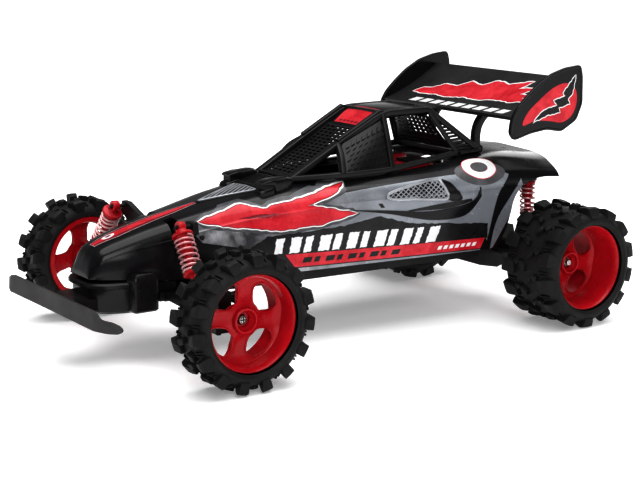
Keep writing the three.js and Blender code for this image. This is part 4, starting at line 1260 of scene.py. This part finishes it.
def build_side_panels():
    low_front, low_rear, top_rear, top_front = (Vector(MESH[k])
                                                for k in ("low_front", "low_rear", "top_rear", "top_front"))

    def lift(u, v):
        s, t = u / 40, v / 26
        low, high = low_front.lerp(low_rear, s), top_front.lerp(top_rear, s)
        bulge = 1.5 * math.sin(math.pi * min(1, max(0, s))) * math.sin(math.pi * min(1, max(0, t)))
        return low.lerp(high, t) + Vector((0.86, 0, 0.5)) * (bulge + 0.6)

    outline = rounded([(0, 0), (40, 0), (40, 26), (0, 26)], 2.2)
    bars = []
    for row, t in enumerate((3.2, 6.9, 10.6, 14.3, 18.0)):
        for k in range(7):
            x = 4.4 + 5.2 * k + (2.6 if row % 2 else 0)
            if x < 38:
                bars.append([(x - 2.1, t - 1.2), (x + 0.9, t - 0.3), (x + 2.1, t + 1.2), (x - 0.9, t + 0.3)])
    bars += [[(x - 1.9, 20.4), (x + 1.2, 20.9), (x + 1.9, 24.2), (x - 1.2, 23.7)]
             for x in (4.2 + 4.6 * k for k in range(8))]
    out = Vector((0.86, 0, 0.5))
    raised = [sheet(flat_mesh(rounded(bar, 0.3, 2), (), 3), lambda u, v: lift(u, v) + out * 1.0, 1.1)
              for bar in bars]
    shape = merge(sheet(flat_mesh(outline, (), 1.7), lift, 1.1), *raised)
    # The satin black sheet just behind each panel stands in for the dark cockpit beyond it: partly the black
    # parts in there, partly painted shade.
    back = sheet(flat_mesh(rounded([(0.5, 0.5), (39.5, 0.5), (39.5, 25.5), (0.5, 25.5)], 2), (), 3),
                 lambda u, v: lift(u, v) - out * 0.9, 0.6)
    for side, each, behind in (("left", shape, back), ("right", mirrored(*shape), mirrored(*back))):
        make(f"side_mesh_{side}_shown", each, CAGE_BLACK, "chassis", f"side_mesh_{side}", 0.16, 40)
        make(f"side_mesh_{side}_back", behind, SATIN, "chassis", sharp=40)


def build_windscreen():
    def lift(u, v):
        t = v / 52
        y, z = lerp(-17.6, 30.4, t), lerp(95.9, 122.2, t)
        sag = -0.8 * math.sin(math.pi * min(1, max(0, t)))
        return Vector((u * lerp(1, 1.07, t), y, z + sag))

    outline = rounded([(-15.6, 0), (15.6, 0), (15.6, 52), (-15.6, 52)], 1.2)
    holes = []
    for row in range(17):
        for k in range(6):
            x = -11.6 + 4.65 * k
            y = 2.9 + row * 2.85
            slot = [(x - 2.0, y - 0.75), (x + 1.4, y - 0.75), (x + 2.0, y + 0.75), (x - 1.4, y + 0.75)]
            holes.append(rounded(slot, 0.35, 2))
    shape = sheet(flat_mesh(outline, holes, 1.7), lift, 1.1)
    make("windscreen_mesh_shown", shape, CAGE_BLACK, "chassis", "windscreen_mesh", 0.14, 40)


def build_rear_mesh():
    def lift(u, v):
        t = v / 22.4
        return Vector((u / 20 * lerp(15.4, 25.4, t), lerp(83, 93.8, t), lerp(126.6, 107, t)))

    holes = []
    for row in range(5):
        for k in range(8):
            x, y = -16.1 + 4.6 * k, 2.5 + 2.7 * row
            slot = [(x - 1.6, y - 0.8), (x + 1.2, y - 0.8), (x + 1.6, y + 0.8), (x - 1.2, y + 0.8)]
            holes.append(rounded(slot, 0.35, 2))
    outline = rounded([(-20, 0), (20, 0), (20, 22.4), (-20, 22.4)], 1)
    shape = sheet(flat_mesh(outline, holes, 1.8), lift, 1.0)
    make("rear_window_mesh_shown", shape, CAGE_BLACK, "chassis", "rear_window_mesh", 0.14, 40)
    pads = [sweep([lift(-18, v), lift(18, v)], rounded_box(0.9, 1.0, 0.3)) for v in (17.4, 20.4)]
    make("rear_window_ribs", merge(*pads), SATIN, "chassis", sharp=45)


def build_roof():
    path = smooth_path([(0, 29.6, 121.7), (0, 44.0, 131.4), (0, 62, 132.7), (0, 82, 131.9)], 9, 8)
    lengths = [0.0]
    for a, b in zip(path, path[1:]):
        lengths.append(lengths[-1] + (b - a).length)
    total = lengths[-1]

    def spine(s):
        s = max(0, min(total, s))
        for a, b, l0, l1 in zip(path, path[1:], lengths, lengths[1:]):
            if s <= l1:
                return a.lerp(b, (s - l0) / (l1 - l0))
        return path[-1]

    def lift(above):
        def at(u, v):
            p = spine(v)
            ahead = (spine(v + 0.4) - spine(v - 0.4)).normalized()
            normal = Vector((0, -ahead.z, ahead.y))
            edge = max(0.0, abs(u) - 15.2)
            drop = 0.55 * (u / 16) ** 2 + 0.16 * edge * edge
            return Vector((u, p.y, p.z)) + normal * (above - drop)
        return at

    outline = rounded([(-15.4, 0), (15.4, 0), (18.6, 13), (19.8, 18), (20, total), (-20, total), (-19.8, 18),
                       (-18.6, 13)], 2.2)
    shape = sheet(flat_mesh(outline, (), 1.8), lift(0.3), 1.7)
    make("roof_panel_shown", shape, BODY_BLACK, "chassis", "roof_panel", 0.3, 40)
    badge = rounded([(-11.6, 1.8), (11.6, 1.8), (13.6, 20.6), (-13.6, 20.6)], 0.8)
    make("roof_badge", sheet(flat_mesh(badge, (), 1.8), lift(0.4), 0.06), PRINT_RED, "chassis", sharp=60,
         outward=False)
    for i in range(5):
        x = -8.2 + i * 3.9
        dash = slanted(x, 2.6, 3.2, 4.7, 0.5)
        make(f"roof_badge_dash_{i + 1}", sheet(flat_mesh(dash, (), 1.5), lift(0.46), 0.05), PRINT_DEEP,
             "chassis", sharp=60,
             outward=False)


def hits(node, starts, direction):
    """Where rays from car points meet a CAD node, with the surface direction there."""
    tree = tree_of(NODES[node])
    for start in starts:
        hit, normal, _, _ = tree.ray_cast(place(start), Vector(direction))
        if hit:
            yield (hit.x * 1000, hit.y * 1000 - SHIFT, hit.z * 1000), normal


def build_fixings():
    """Screws on the underside, the gearbox and the body, and the ribs on the battery door."""
    floor = [(side * x, y, -50) for side in (1, -1) for x,
             y in ((13, -74), (19.5, 36), (19.5, 76), (12, -104))]
    for i, (where, normal) in enumerate(hits("chassis_tub", floor, (0, 0, 1))):
        screw_head(f"tub_screw_{i + 1}", where, 2.0, normal, "chassis")
    for side, points in (("left", ((14, 44), (14, 32), (50, 38))),
                         ("right", ((-3, 44), (-3, 32), (-50, 38)))):
        starts = [(x, 250, z) for x, z in points]
        for i, (where, normal) in enumerate(hits(f"gearbox_case_{side}", starts, (0, -1, 0))):
            screw_head(f"gearbox_screw_{side}_{i + 1}", where, 1.5, normal, "gearbox")
    ribs = [sweep([(-9, y, 34), (9, y, 34)], rounded_box(0.6, 0.6, 0.3))
            for y in (-44 + 2.4 * k for k in range(5))]
    make("battery_door_ribs", merge(*ribs), SATIN, "battery_door", sharp=45)
    where = Vector(onto(SIDE_ON, 0)(-85.7, 67.9))
    for side, name in ((1, "left"), (-1, "right")):
        screw_head(f"body_screw_{name}", (side * where.x, where.y, where.z), 1.5, (side * 0.95, -0.1, 0.25),
                   "chassis", SATIN)
    # A black disc printed on the deck stands for the post hole: painted shade of the hole.
    print_on("deck_hole_shade", ellipse(21.3, 142.8, 1.9, 1.9, 24), PRINT_BLACK, 1, TOP_ON)


build_fixings()
build_cage()
build_side_panels()
build_windscreen()
build_rear_mesh()
build_roof()


# ---- Hood trim and side intakes --------------------------------------------------------------
def hatch(outline, angle, spacing, inset=0.0):
    """Straight lines across an outline at an angle: pairs of end points."""
    c, s = math.cos(math.radians(angle)), math.sin(math.radians(angle))
    loop = [(p[0] * c + p[1] * s, -p[0] * s + p[1] * c) for p in outline]
    low, high = min(p[1] for p in loop), max(p[1] for p in loop)
    out, v = [], low + spacing * 0.5
    while v < high:
        hits = []
        for (x1, y1), (x2, y2) in zip(loop, loop[1:] + loop[:1]):
            if (y1 > v) != (y2 > v):
                hits.append(x1 + (v - y1) * (x2 - x1) / (y2 - y1))
        hits.sort()
        for a, b in zip(hits[::2], hits[1::2]):
            if b - a > 0.8 + 2 * inset:
                ends = [(a + inset, v), (b - inset, v)]
                out.append([(x * c - y * s, x * s + y * c) for x, y in ends])
        v += spacing
    return out


def bars_on(lines, drop, half_wide, half_high, up=(0, 0, 1)):
    shapes = []
    for (x1, y1), (x2, y2) in lines:
        count = max(1, round(math.dist((x1, y1), (x2, y2)) / 3))
        path = [drop(lerp(x1, x2, k / count), lerp(y1, y2, k / count)) for k in range(count + 1)]
        shapes.append(sweep(path, rounded_box(half_wide, half_high, min(half_wide, half_high) * 0.6, 2),
                            up=Vector(up)))
    return merge(*shapes)


def framed(outline, drop, half_wide, half_high, up=(0, 0, 1)):
    loop = resampled(outline, 1.6)
    return sweep([drop(*p) for p in loop], rounded_box(half_wide, half_high, 0.35, 2), closed=True,
                 up=Vector(up))


def build_hood_trim():
    outline = rounded([(0, -74), (12.3, -41), (-12.3, -41)], 1.4)
    drop = onto(TOP_ON, 0.35)
    plate = sheet(flat_mesh(outline, (), 2.0), onto(TOP_ON, 0.3), 0.5)
    make("hood_grille_plate", plate, SATIN, "chassis", "hood_grille", outward=False)
    ribs = bars_on(hatch(outline, 120, 2.6, 0.2), drop, 0.55, 0.4)
    make("hood_grille_ribs", merge(ribs, framed(outline, drop, 0.4, 0.5)), SILVER, "chassis", sharp=45)
    rim = framed(grown(outline, 1.5), onto(TOP_ON, 0.1), 0.6, 0.5)
    make("hood_grille_surround", rim, BODY_BLACK, "chassis", sharp=45)
    bridge = [(-14.5, -40), (14.5, -40), (14.5, -24), (-14.5, -24)]

    def ramp(u, v):
        t = (v + 40) / 16
        return (u, v, lerp(91.2, 95.2, t) - 0.012 * u * u * 0.3)

    make("cowl_bridge", sheet(flat_mesh(bridge, (), 2), ramp, 3.4), SATIN, "chassis", "cowl_scoops", 0.3, 40)
    lines = [((-12.4, y), (12.4, y)) for y in (-38.4 + 1.55 * k for k in range(9))]
    make("cowl_ribs", bars_on(lines, ramp, 0.4, 0.45), CAGE_BLACK, "chassis", sharp=45)
    for side in (1, -1):
        name = "left" if side > 0 else "right"
        bulge = pod(side * 18.7, ((-46, 2.8, 85.4, 88), (-44.6, 4.2, 85, 89.8), (-41, 4.9, 85.2, 91.2),
                                  (-36, 4.9, 85.8, 92.2)))
        crown = pod(side * 18.7, ((-43.2, 4.4, 93.5, 94.6), (-41.6, 4.9, 93.2, 95.3), (-36, 5.1, 92.4, 96.4),
                                  (-34.4, 5.1, 86.6, 96.7),
                                  (-28, 5.0, 86.8, 97.3), (-24.4, 4.7, 87.4, 97), (-22.6, 4.0, 88, 95.4)))
        make(f"cowl_scoop_{name}", merge(bulge, crown), BODY_BLACK, "chassis", sharp=50)
        recess = pod(side * 18.7, ((-42.2, 3.9, 89.8, 93.9), (-40.4, 4.3, 89.6, 94.2), (-33, 4.3, 89, 94.4)))
        make(f"cowl_recess_{name}", recess, SATIN, "chassis", sharp=50)


def pod(x, stations):
    """A rounded pod along the car: stations of (y, half width, lowest z, highest z)."""
    sections = []
    for y, half, low, high in stations:
        corner = min(half, (high - low) / 2) * 0.6
        section = rounded_box(half, (high - low) / 2, corner, 4)
        sections.append([(x + u, y, (low + high) / 2 + v) for u, v in section])
    return loft(sections)


def loft(sections):
    """Closed loops of equal count joined one after another, with flat ends."""
    n = len(sections[0])
    points = [p for s in sections for p in s]
    faces = []
    for i in range(len(sections) - 1):
        for k in range(n):
            m = (k + 1) % n
            faces.append((i * n + k, i * n + m, (i + 1) * n + m, (i + 1) * n + k))
    last = (len(sections) - 1) * n
    faces += [tuple(range(n - 1, -1, -1)), tuple(range(last, last + n))]
    return points, faces


INTAKE = [(27.6, 84.2), (29, 86), (33, 87.4), (39, 88.7), (49.5, 90.5), (60, 91.9), (64.4, 91.9),
          (66, 89.6), (70, 81), (62, 80.6), (44, 82.2), (31.5, 82.8)]
INTAKE_BACK = [(66.6, 91.2), (71.4, 89.2), (76.5, 84.3), (80.2, 80), (78, 78.8), (71.6, 80),
               (68.6, 85.6)]


def build_intakes():
    outline = curve_through(INTAKE, 3)
    dark = sheet(flat_mesh(outline, (), 2), onto(SIDE_ON, 0.15), 0.6)
    mesh_lines = hatch(outline, 38, 2.15) + hatch(outline, -38, 2.15)
    ribs = bars_on(mesh_lines, onto(SIDE_ON, 0.42), 0.28, 0.3, up=(1, 0, 0))
    rim = framed(outline, onto(SIDE_ON, 0.45), 0.8, 0.75, up=(1, 0, 0))
    for side in ("left", "right"):
        make(f"side_intake_{side}_dark", handed(dark, side), SATIN, "chassis", outward=False)
        make(f"side_intake_{side}_shown", handed(merge(ribs, rim), side), SILVER, "chassis",
             f"side_intake_{side}",
             sharp=45)
    opening = rounded(INTAKE_BACK, 1.0)
    print_on("intake_back", opening, PRINT_BLACK, 1)
    print_on("intake_brow", grown(opening, 0.9), BODY_BLACK, 1, holes=[opening], lift=0.5)


build_hood_trim()
build_intakes()


# ---- Rear wing ------------------------------------------------------------------------------
def wing_point(x, t, above=0.0):
    y = lerp(109.3, 154.5, t)
    z = lerp(128.6, 150.9, t) - 10.4 * t * (1 - t)
    slope = (22.3 - 10.4 * (1 - 2 * t)) / 45.2
    normal = Vector((0, -slope, 1)).normalized()
    return Vector((x, y, z)) + normal * above


def wing_sheet(outline, above, thick, spacing=2.4):
    """Outline of (x, mm along the blade); the blade is 50 mm from front to back."""
    return sheet(flat_mesh(outline, (), spacing), lambda u, v: wing_point(u, v / 50, above), thick)


def build_wing():
    blade = wing_sheet(rounded([(-62.9, 0), (62.9, 0), (62.9, 50), (-62.9, 50)], 1.2), 0, 2.2, 3.0)
    make("wing_blade_shown", blade, WING_BLACK, "chassis", "wing_blade", 0.7, 40)
    ribs = [sweep([wing_point(x, t / 10, -2.5) for t in range(1, 10)], rounded_box(0.8, 0.7, 0.3),
                  up=Vector((0, 0, 1)))
            for x in (-44, -9, 9, 44)]
    make("wing_ribs", merge(*ribs), SATIN, "chassis", sharp=45)
    flame = [(-50, 17), (-40, 15.5), (-28, 17), (-14, 15), (0, 18), (14, 16.5), (28, 20), (44, 19), (55, 24),
             (48, 25.5),
             (54, 30), (42, 29.5), (50, 37), (36, 35), (42, 43), (24, 37.5), (12, 40), (2, 33.5), (-10, 36),
             (-18, 29.5),
             (-30, 30.5), (-38, 24.5), (-46, 23)]
    edge = torn(flame, 3.0, 0.5, seed=17)
    make("wing_flame_edge", wing_sheet(grown(edge, 1.1), 0.12, 0.06), PRINT_WHITE, "chassis", sharp=60,
         outward=False)
    make("wing_flame", wing_sheet(edge, 0.18, 0.05), PRINT_RED, "chassis", sharp=60, outward=False)
    dashes = [wing_sheet(slanted(-40 + 10.6 * i, 7.6, 3.2, 9.4, 2.4), 0.13, 0.05) for i in range(9)]
    make("wing_dashes", merge(*dashes), PRINT_WHITE, "chassis", sharp=60, outward=False)


ENDPLATE = [(164.7, 158.6), (166.8, 152), (167.7, 134.3), (163, 124), (150.3, 117.3), (137.6, 119.3),
            (124.2, 117.6), (111, 114.2), (107.2, 118.7), (108.5, 127.5), (112.4, 133.6),
            (119.3, 140), (128.6, 147.3), (140.5, 153.8), (152.8, 157.2)]


def build_endplates():
    outline = rounded(ENDPLATE, 2.6)
    drop_shape = curve_through([(117.5, 123), (121, 130.5), (130, 137.6), (141, 144.6), (152, 147.6),
                                (160.5, 144), (162.5, 135.5),
                                (158.5, 127), (150, 123.2), (140, 124.6), (128, 125.4)], 4)
    bolt = [(160.5, 152), (150.5, 141.5), (152.5, 139.6), (143, 137), (145.6, 134), (134.5, 131.5),
            (126, 124.6), (137, 128.4),
            (148, 129.6), (146.4, 132.6), (156.4, 134.6), (154.4, 137.6), (158.5, 141)]
    bolt = torn(bolt, 1.8, 0.35, seed=9)
    plate = prism(outline, "x", 63.3, 65.4)
    rim_path = [(65.2, y, z) for y, z in resampled(grown(outline, -0.9), 2.0)]
    rim = sweep(rim_path, rounded_box(0.8, 0.6, 0.4), closed=True, up=Vector((1, 0, 0)))
    prints = ((drop_shape, 65.48, PRINT_RED), (grown(bolt, 0.7), 65.54, PRINT_WHITE),
              (bolt, 65.6, PRINT_BLACK))
    for side in ("left", "right"):
        make(f"wing_endplate_{side}_shown", handed(plate, side), BODY_BLACK, "chassis",
             f"wing_endplate_{side}", 0.5,
             40)
        make(f"wing_endplate_{side}_rim", handed(rim, side), BODY_BLACK, "chassis", sharp=45)
        for i, (shape, x, look) in enumerate(prints):
            film = sheet(flat_mesh([p[:2] for p in shape], (), 3), lambda u, v, x=x: (x, u, v), 0.1)
            make(f"wing_print_{side}_{i + 1}", handed(film, side), look, "chassis", sharp=60)


def build_wing_bracket():
    foot = stack(rounded([(-26, 113.6), (26, 113.6), (26, 122), (-26, 122)], 2.5),
                 [(101.2, 0), (105.4, 0), (106.2, -0.8)])
    shapes = [foot]
    for side in (1, -1):
        path = smooth_path([(side * 22, 117.8, 103), (side * 22, 117.8, 117), (side * 23, 122.6, 125.4),
                            (side * 23.6, 130.5, 129.6)],
                           7, 6)
        shapes.append(sweep(path, rounded_box(2.3, 2.7, 1.0), up=Vector((0, 1, 0))))
        pad = [wing_point(side * 23.6, t, -3.3) for t in (0.12, 0.3, 0.5, 0.68)]
        shapes.append(sweep(pad, rounded_box(3.4, 1.0, 0.5)))
    make("wing_bracket_shown", merge(*shapes), CAGE_BLACK, "chassis", "wing_bracket", sharp=45)
    for side in (1, -1):
        screw_head(f"bracket_screw_{'left' if side > 0 else 'right'}", (side * 11, 117.8, 105.9), 2.0,
                   (0, 0, 1), "chassis")


def stack(outline, layers):
    """One outline repeated at several heights, each grown by its own amount."""
    return loft([[(p[0], p[1], z) for p in (grown(outline, grow) if grow else outline)] for z,
                 grow in layers])


build_wing()
build_endplates()
build_wing_bracket()


# ---- Nose and bumper ------------------------------------------------------------------------
def build_nose():
    block_line = rounded([(12, -148.5), (18, -143), (23, -130), (19, -112.5), (-19, -112.5), (-23, -130),
                          (-18, -143),
                          (-12, -148.5)], 4)
    lower = stack(block_line, [(28.8, -3.4), (30.4, -1.0), (33, 0), (43.4, 0)])
    flange_line = rounded([(12.5, -150.6), (18.8, -144), (23.2, -128), (21, -114), (-21, -114),
                           (-23.2, -128), (-18.8, -144),
                           (-12.5, -150.6)], 4)
    flange = stack(flange_line, [(43.2, -0.6), (43.8, 0.3), (45.6, 0.3), (46.6, -0.5)])
    cheeks = []
    for side in (1, -1):
        line = rounded([(side * 19, -131), (side * 28, -129.8), (side * 28, -114.4), (side * 19, -113.6)], 2)
        if side < 0:
            line = line[::-1]
        cheeks.append(stack(line, [(29.8, -1.4), (31, 0), (47, 0), (50, -0.9), (51.4, -2.4)]))
    mount = block(-15, 15, -165.6, -145, 31.6, 38)
    make("front_bulkhead_shown", merge(lower, flange, *cheeks, mount), NOSE_BLACK, "chassis",
         "front_bulkhead", 0.5, 40)
    for i, (x, y) in enumerate(((8, -140), (-8, -140), (12, -120), (-12, -120))):
        screw_head(f"nose_screw_{i + 1}", (x, y, 29.4), 2.0, (0, 0, -1), "chassis")


def build_bumper():
    half = [(0, 41.6), (50, 41.6), (53, 40.9), (55, 38.8), (57, 37.8), (64, 37.6), (69, 36.4), (71.2, 34.2),
            (69.4, 32.2), (62, 31.4),
            (50, 31.4), (0, 31.6)]
    outline = half + [(-u, v) for u, v in reversed(half)][1:-1]

    def bend(u, v):
        past = max(0.0, abs(u) - 52)
        x = math.copysign(min(abs(u), 52) + past * 0.93, u)
        y = -165.5 + past * past * 0.006 + past * 0.26 + 0.05 * (v - 36)
        return (x, y, v)

    blade = sheet(flat_mesh(rounded(outline, 1.4), (), 2.2), bend, -1.9)
    make("front_bumper_shown", blade, BUMPER_GREY, "chassis", "front_bumper", 0.35, 40)
    rib = sweep([(x, -164.35, 36) for x in (-30, -15, 0, 15, 30)], rounded_box(1.4, 1.2, 0.4),
                up=Vector((0, 0, 1)))
    make("bumper_rib", rib, BUMPER_GREY, "chassis", sharp=45)


build_nose()
build_bumper()


# ---- Shock absorbers ------------------------------------------------------------------------
SHOCKS = {
    "front": {"top": (38.3, -107, 78), "bottom": (60, -108.6, 48), "seat": 6, "perch": 27, "coil": 5.2,
              "across": "y",
              "keep": 0.745},
    "rear": {"top": (40, 147, 87), "bottom": (40, 149, 57), "seat": 5.5, "perch": 24, "coil": 4.6,
             "across": "x",
             "keep": 0.6665},
}


def about_z(profile, steps=36):
    points, faces = revolve(profile, steps, closed=False)
    return [(y, z, x) for x, y, z in points], faces


def eye(z, across):
    barrel, faces = revolve([(1.5, -2), (3.0, -2), (3.3, -1.6), (3.3, 1.6), (3.0, 2), (1.5, 2)], 28)
    swap = barrel if across == "x" else [(y, x, w) for x, y, w in barrel]
    return [(x, y, w + z) for x, y, w in swap], faces


def coil(radius, wire, turns, z0, z1):
    steps = turns * 24
    path = []
    for k in range(steps + 1):
        t = k / steps
        eased = t - 0.035 * math.sin(2 * math.pi * t)
        a = 2 * math.pi * turns * t
        path.append((radius * math.cos(a), radius * math.sin(a), lerp(z0, z1, eased)))
    return sweep(path, ring(wire, 8))


def build_shocks():
    for end, s in SHOCKS.items():
        down = Vector(s["bottom"]) - Vector(s["top"])
        turn = Vector((0, 0, -1)).rotation_difference(down).to_matrix()
        length, seat, perch, wide = down.length, s["seat"], s["perch"], s["coil"]
        tube_end = -(seat + perch) / 2
        body = about_z([(0.01, -1.2), (2.6, -1.4), (3.1, -2.2), (3.2, -3.0), (wide * 0.85, -seat + 2.2),
                        (wide + 0.4, -seat + 2.0),
                        (wide + 0.75, -seat + 1.5), (wide + 0.75, -seat + 0.5), (wide + 0.5, -seat + 0.2),
                        (wide - 0.9, -seat + 0.1),
                        (3.8, -seat - 1.0), (3.5, -seat - 1.4), (3.5, tube_end + 0.4), (3.1, tube_end),
                        (0.01, tube_end)])
        rod = about_z([(0.01, tube_end + 2.5), (2.2, tube_end + 2.5), (2.2, -perch + 1.8),
                       (3.6, -perch + 1.4), (3.8, -perch),
                       (wide + 0.3, -perch), (wide + 0.6, -perch - 0.3), (wide + 0.6, -perch - 1.2),
                       (wide + 0.2, -perch - 1.6),
                       (2.8, -perch - 2.2), (2.4, -length + 3.2), (2.4, -length + 2.6),
                       (0.01, -length + 2.4)])
        turns = round((perch - seat) / 3.1)
        parts = (("body", merge(body, eye(0, s["across"])), RED, "shock_body"),
                 ("rod", merge(rod, eye(-length, s["across"])), RED, "shock_rod"),
                 ("spring", coil(wide, 0.62, turns, -seat - 0.5, -perch + 0.7), SPRING, "spring"))
        for side in ("left", "right"):
            for kind, shape, look, node in parts:
                placed = handed(moved(turned(shape, turn), *s["top"]), side)
                rides = f"{end}_{side}_shock_rod" if kind == "rod" else f"{end}_{side}_shock_body"
                piece = make(f"{end}_{side}_{kind}_shown", placed, look, rides, f"{end}_{side}_{node}",
                             sharp=40)
                if kind == "spring":
                    squash_spring(piece, end, side, s)


def squash_spring(piece, end, side, s):
    """Gives a spring a mesh of its own."""
    flip = Vector((1 if side == "left" else -1, 1, 1))
    top, bottom = Vector(s["top"]) * flip, Vector(s["bottom"]) * flip
    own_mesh(piece)


build_shocks()


# ---- Cockpit --------------------------------------------------------------------------------
def build_cockpit():
    def inset(d):
        line = [(14 - d, -12 + d * 1.4), (27 - d * 1.2, 4 + d * 0.4), (33 - d, 36), (34 - d, 92 - d)]
        return rounded(line + [(-x, y) for x, y in reversed(line)], 3)

    floor = stack(inset(0.9), [(76.4, 0), (79, 0)])
    outer, inner = inset(0.7), inset(2.4)
    n = len(outer)
    points = [(p[0], p[1], z) for z in (76.6, 92.6) for p in outer] + [(p[0], p[1], z) for z in (76.6, 92.6)
                                                                       for p in inner]
    faces = []
    for k in range(n):
        m = (k + 1) % n
        faces += [(k, m, n + m, n + k), (2 * n + k, 3 * n + k, 3 * n + m, 2 * n + m),
                  (n + k, n + m, 3 * n + m, 3 * n + k),
                  (k, 2 * n + k, 2 * n + m, m)]
    make("cockpit_tray_shown", merge(floor, (points, faces)), SATIN, "chassis", "cockpit_tray", 0.3, 40)


def build_seat():
    seat = []
    for y, half, z0, z1 in ((13, 11, 78.6, 81.6), (15, 14, 78.6, 83.6), (24, 14.6, 78.6, 82.6),
                            (36, 14.6, 78.6, 82.4),
                            (40, 14.2, 78.6, 84)):
        seat.append([(u, y, (z0 + z1) / 2 + v) for u, v in rounded_box(half, (z1 - z0) / 2, 1.2, 3)])
    back = []
    for z, half, y0, y1 in ((79, 14, 39.5, 45), (86, 14.4, 40.4, 46.4), (94, 12.6, 42, 48),
                            (99.4, 9.4, 43.4, 48.6), (101, 7, 44.2, 48)):
        back.append([(u, (y0 + y1) / 2 + v, z) for u, v in rounded_box(half, (y1 - y0) / 2, 1.4, 3)])
    make("seat_shown", merge(loft(seat), loft(back)), SATIN, "chassis", sharp=45)
    flutes = [sweep([(x, 14.6, 83.7), (x, 26, 82.9), (x, 38.4, 82.9)], rounded_box(1.5, 0.5, 0.4))
              for x in (-9, -3, 3, 9)]
    make("seat_flutes", merge(*flutes), CAGE_BLACK, "chassis", sharp=45)


def build_engine():
    deck = stack(rounded([(-28.6, 62), (28.6, 62), (29, 88), (-29, 88)], 3),
                 [(78, 0), (91, 0), (93.4, -1.6), (94, -3)])
    make("engine_deck", deck, SATIN, "chassis", sharp=40)
    for side in (1, -1):
        name = "left" if side > 0 else "right"
        cover = []
        for y, half, top in ((61, 3, 94.5), (63, 5.6, 97), (72, 6.8, 98.6), (82, 6.6, 99.2), (87, 5.0, 98.4),
                             (89, 2.6, 97)):
            cover.append([(side * 14 + u, y, (93 + top) / 2 + v) for u,
                          v in rounded_box(half, (top - 93) / 2 + 0.6, 1.1, 4)])
        make(f"engine_cover_{name}", loft(cover), RED, "chassis", sharp=45)
        fins = [sweep([(side * 14 - 6.2, y, 99.2), (side * 14 + 6.2, y, 99.2)], rounded_box(0.55, 0.9, 0.3))
                for y in
                (66 + 3 * k for k in range(6))]
        make(f"engine_fins_{name}", merge(*fins), CAGE_BLACK, "chassis", sharp=45)
        stack_pipe = about_z([(0.01, 92), (2.6, 92), (2.8, 97), (3.4, 98), (3.5, 101.6), (3.1, 102.2),
                              (2.6, 101.8), (2.4, 98.4),
                              (0.01, 98.2)], 28)
        make(f"engine_inlet_{name}", moved(stack_pipe, side * 25.0, 84.5, 0), STEEL, "chassis", sharp=45)


build_cockpit()
build_seat()
build_engine()


# ---- Finishing the nodes that are carried over -----------------------------------------------
CARRIED = {
    "chassis_tub": SATIN, "front_bulkhead": NOSE_BLACK, "front_bumper": BUMPER_GREY,
           "front_shock_tower": SATIN,
    "rear_shock_tower": SATIN, "gearbox_pivot_pin": STEEL, "battery_pack": SLEEVE, "receiver_board": BOARD,
    "steering_servo": SATIN, "cockpit_tray": SATIN, "roll_cage": CAGE_BLACK, "windscreen_mesh": CAGE_BLACK,
    "rear_window_mesh": CAGE_BLACK,
    "side_mesh_left": CAGE_BLACK, "side_mesh_right": CAGE_BLACK, "hood_grille": SILVER,
           "cowl_scoops": CAGE_BLACK,
    "side_intake_left": SILVER, "side_intake_right": SILVER, "wing_blade": BODY_BLACK,
           "wing_endplate_left": BODY_BLACK,
    "wing_endplate_right": BODY_BLACK, "wing_bracket": CAGE_BLACK, "roof_panel": BODY_BLACK,
           "battery_door": SATIN,
    "power_switch": NYLON, "tie_rod": SATIN, "steering_horn": NYLON, "gearbox_case_left": SATIN,
    "gearbox_case_right": SATIN, "drive_motor": STEEL, "rear_axle": STEEL, "axle_gear": NYLON,
           "compound_gear": NYLON,
    "motor_pinion": STEEL,
}
for hand in ("left", "right"):
    CARRIED[f"front_{hand}_arm"] = SATIN
    CARRIED[f"front_{hand}_knuckle"] = SATIN
    for end in ("front", "rear"):
        CARRIED[f"{end}_{hand}_shock_body"] = RED
        CARRIED[f"{end}_{hand}_shock_rod"] = RED
        CARRIED[f"{end}_{hand}_spring"] = SPRING


def refine(node, look):
    piece = NODES[node]
    piece.data.materials.clear()
    piece.data.materials.append(look)
    weld = piece.modifiers.new("weld", "WELD")
    weld.merge_threshold = 0.00001
    flat = piece.modifiers.new("flat", "DECIMATE")
    flat.decimate_type = "DISSOLVE"
    flat.angle_limit = math.radians(1)
    soften(piece, 0.4, 2, 30)


for node_name, node_look in CARRIED.items():
    refine(node_name, node_look)
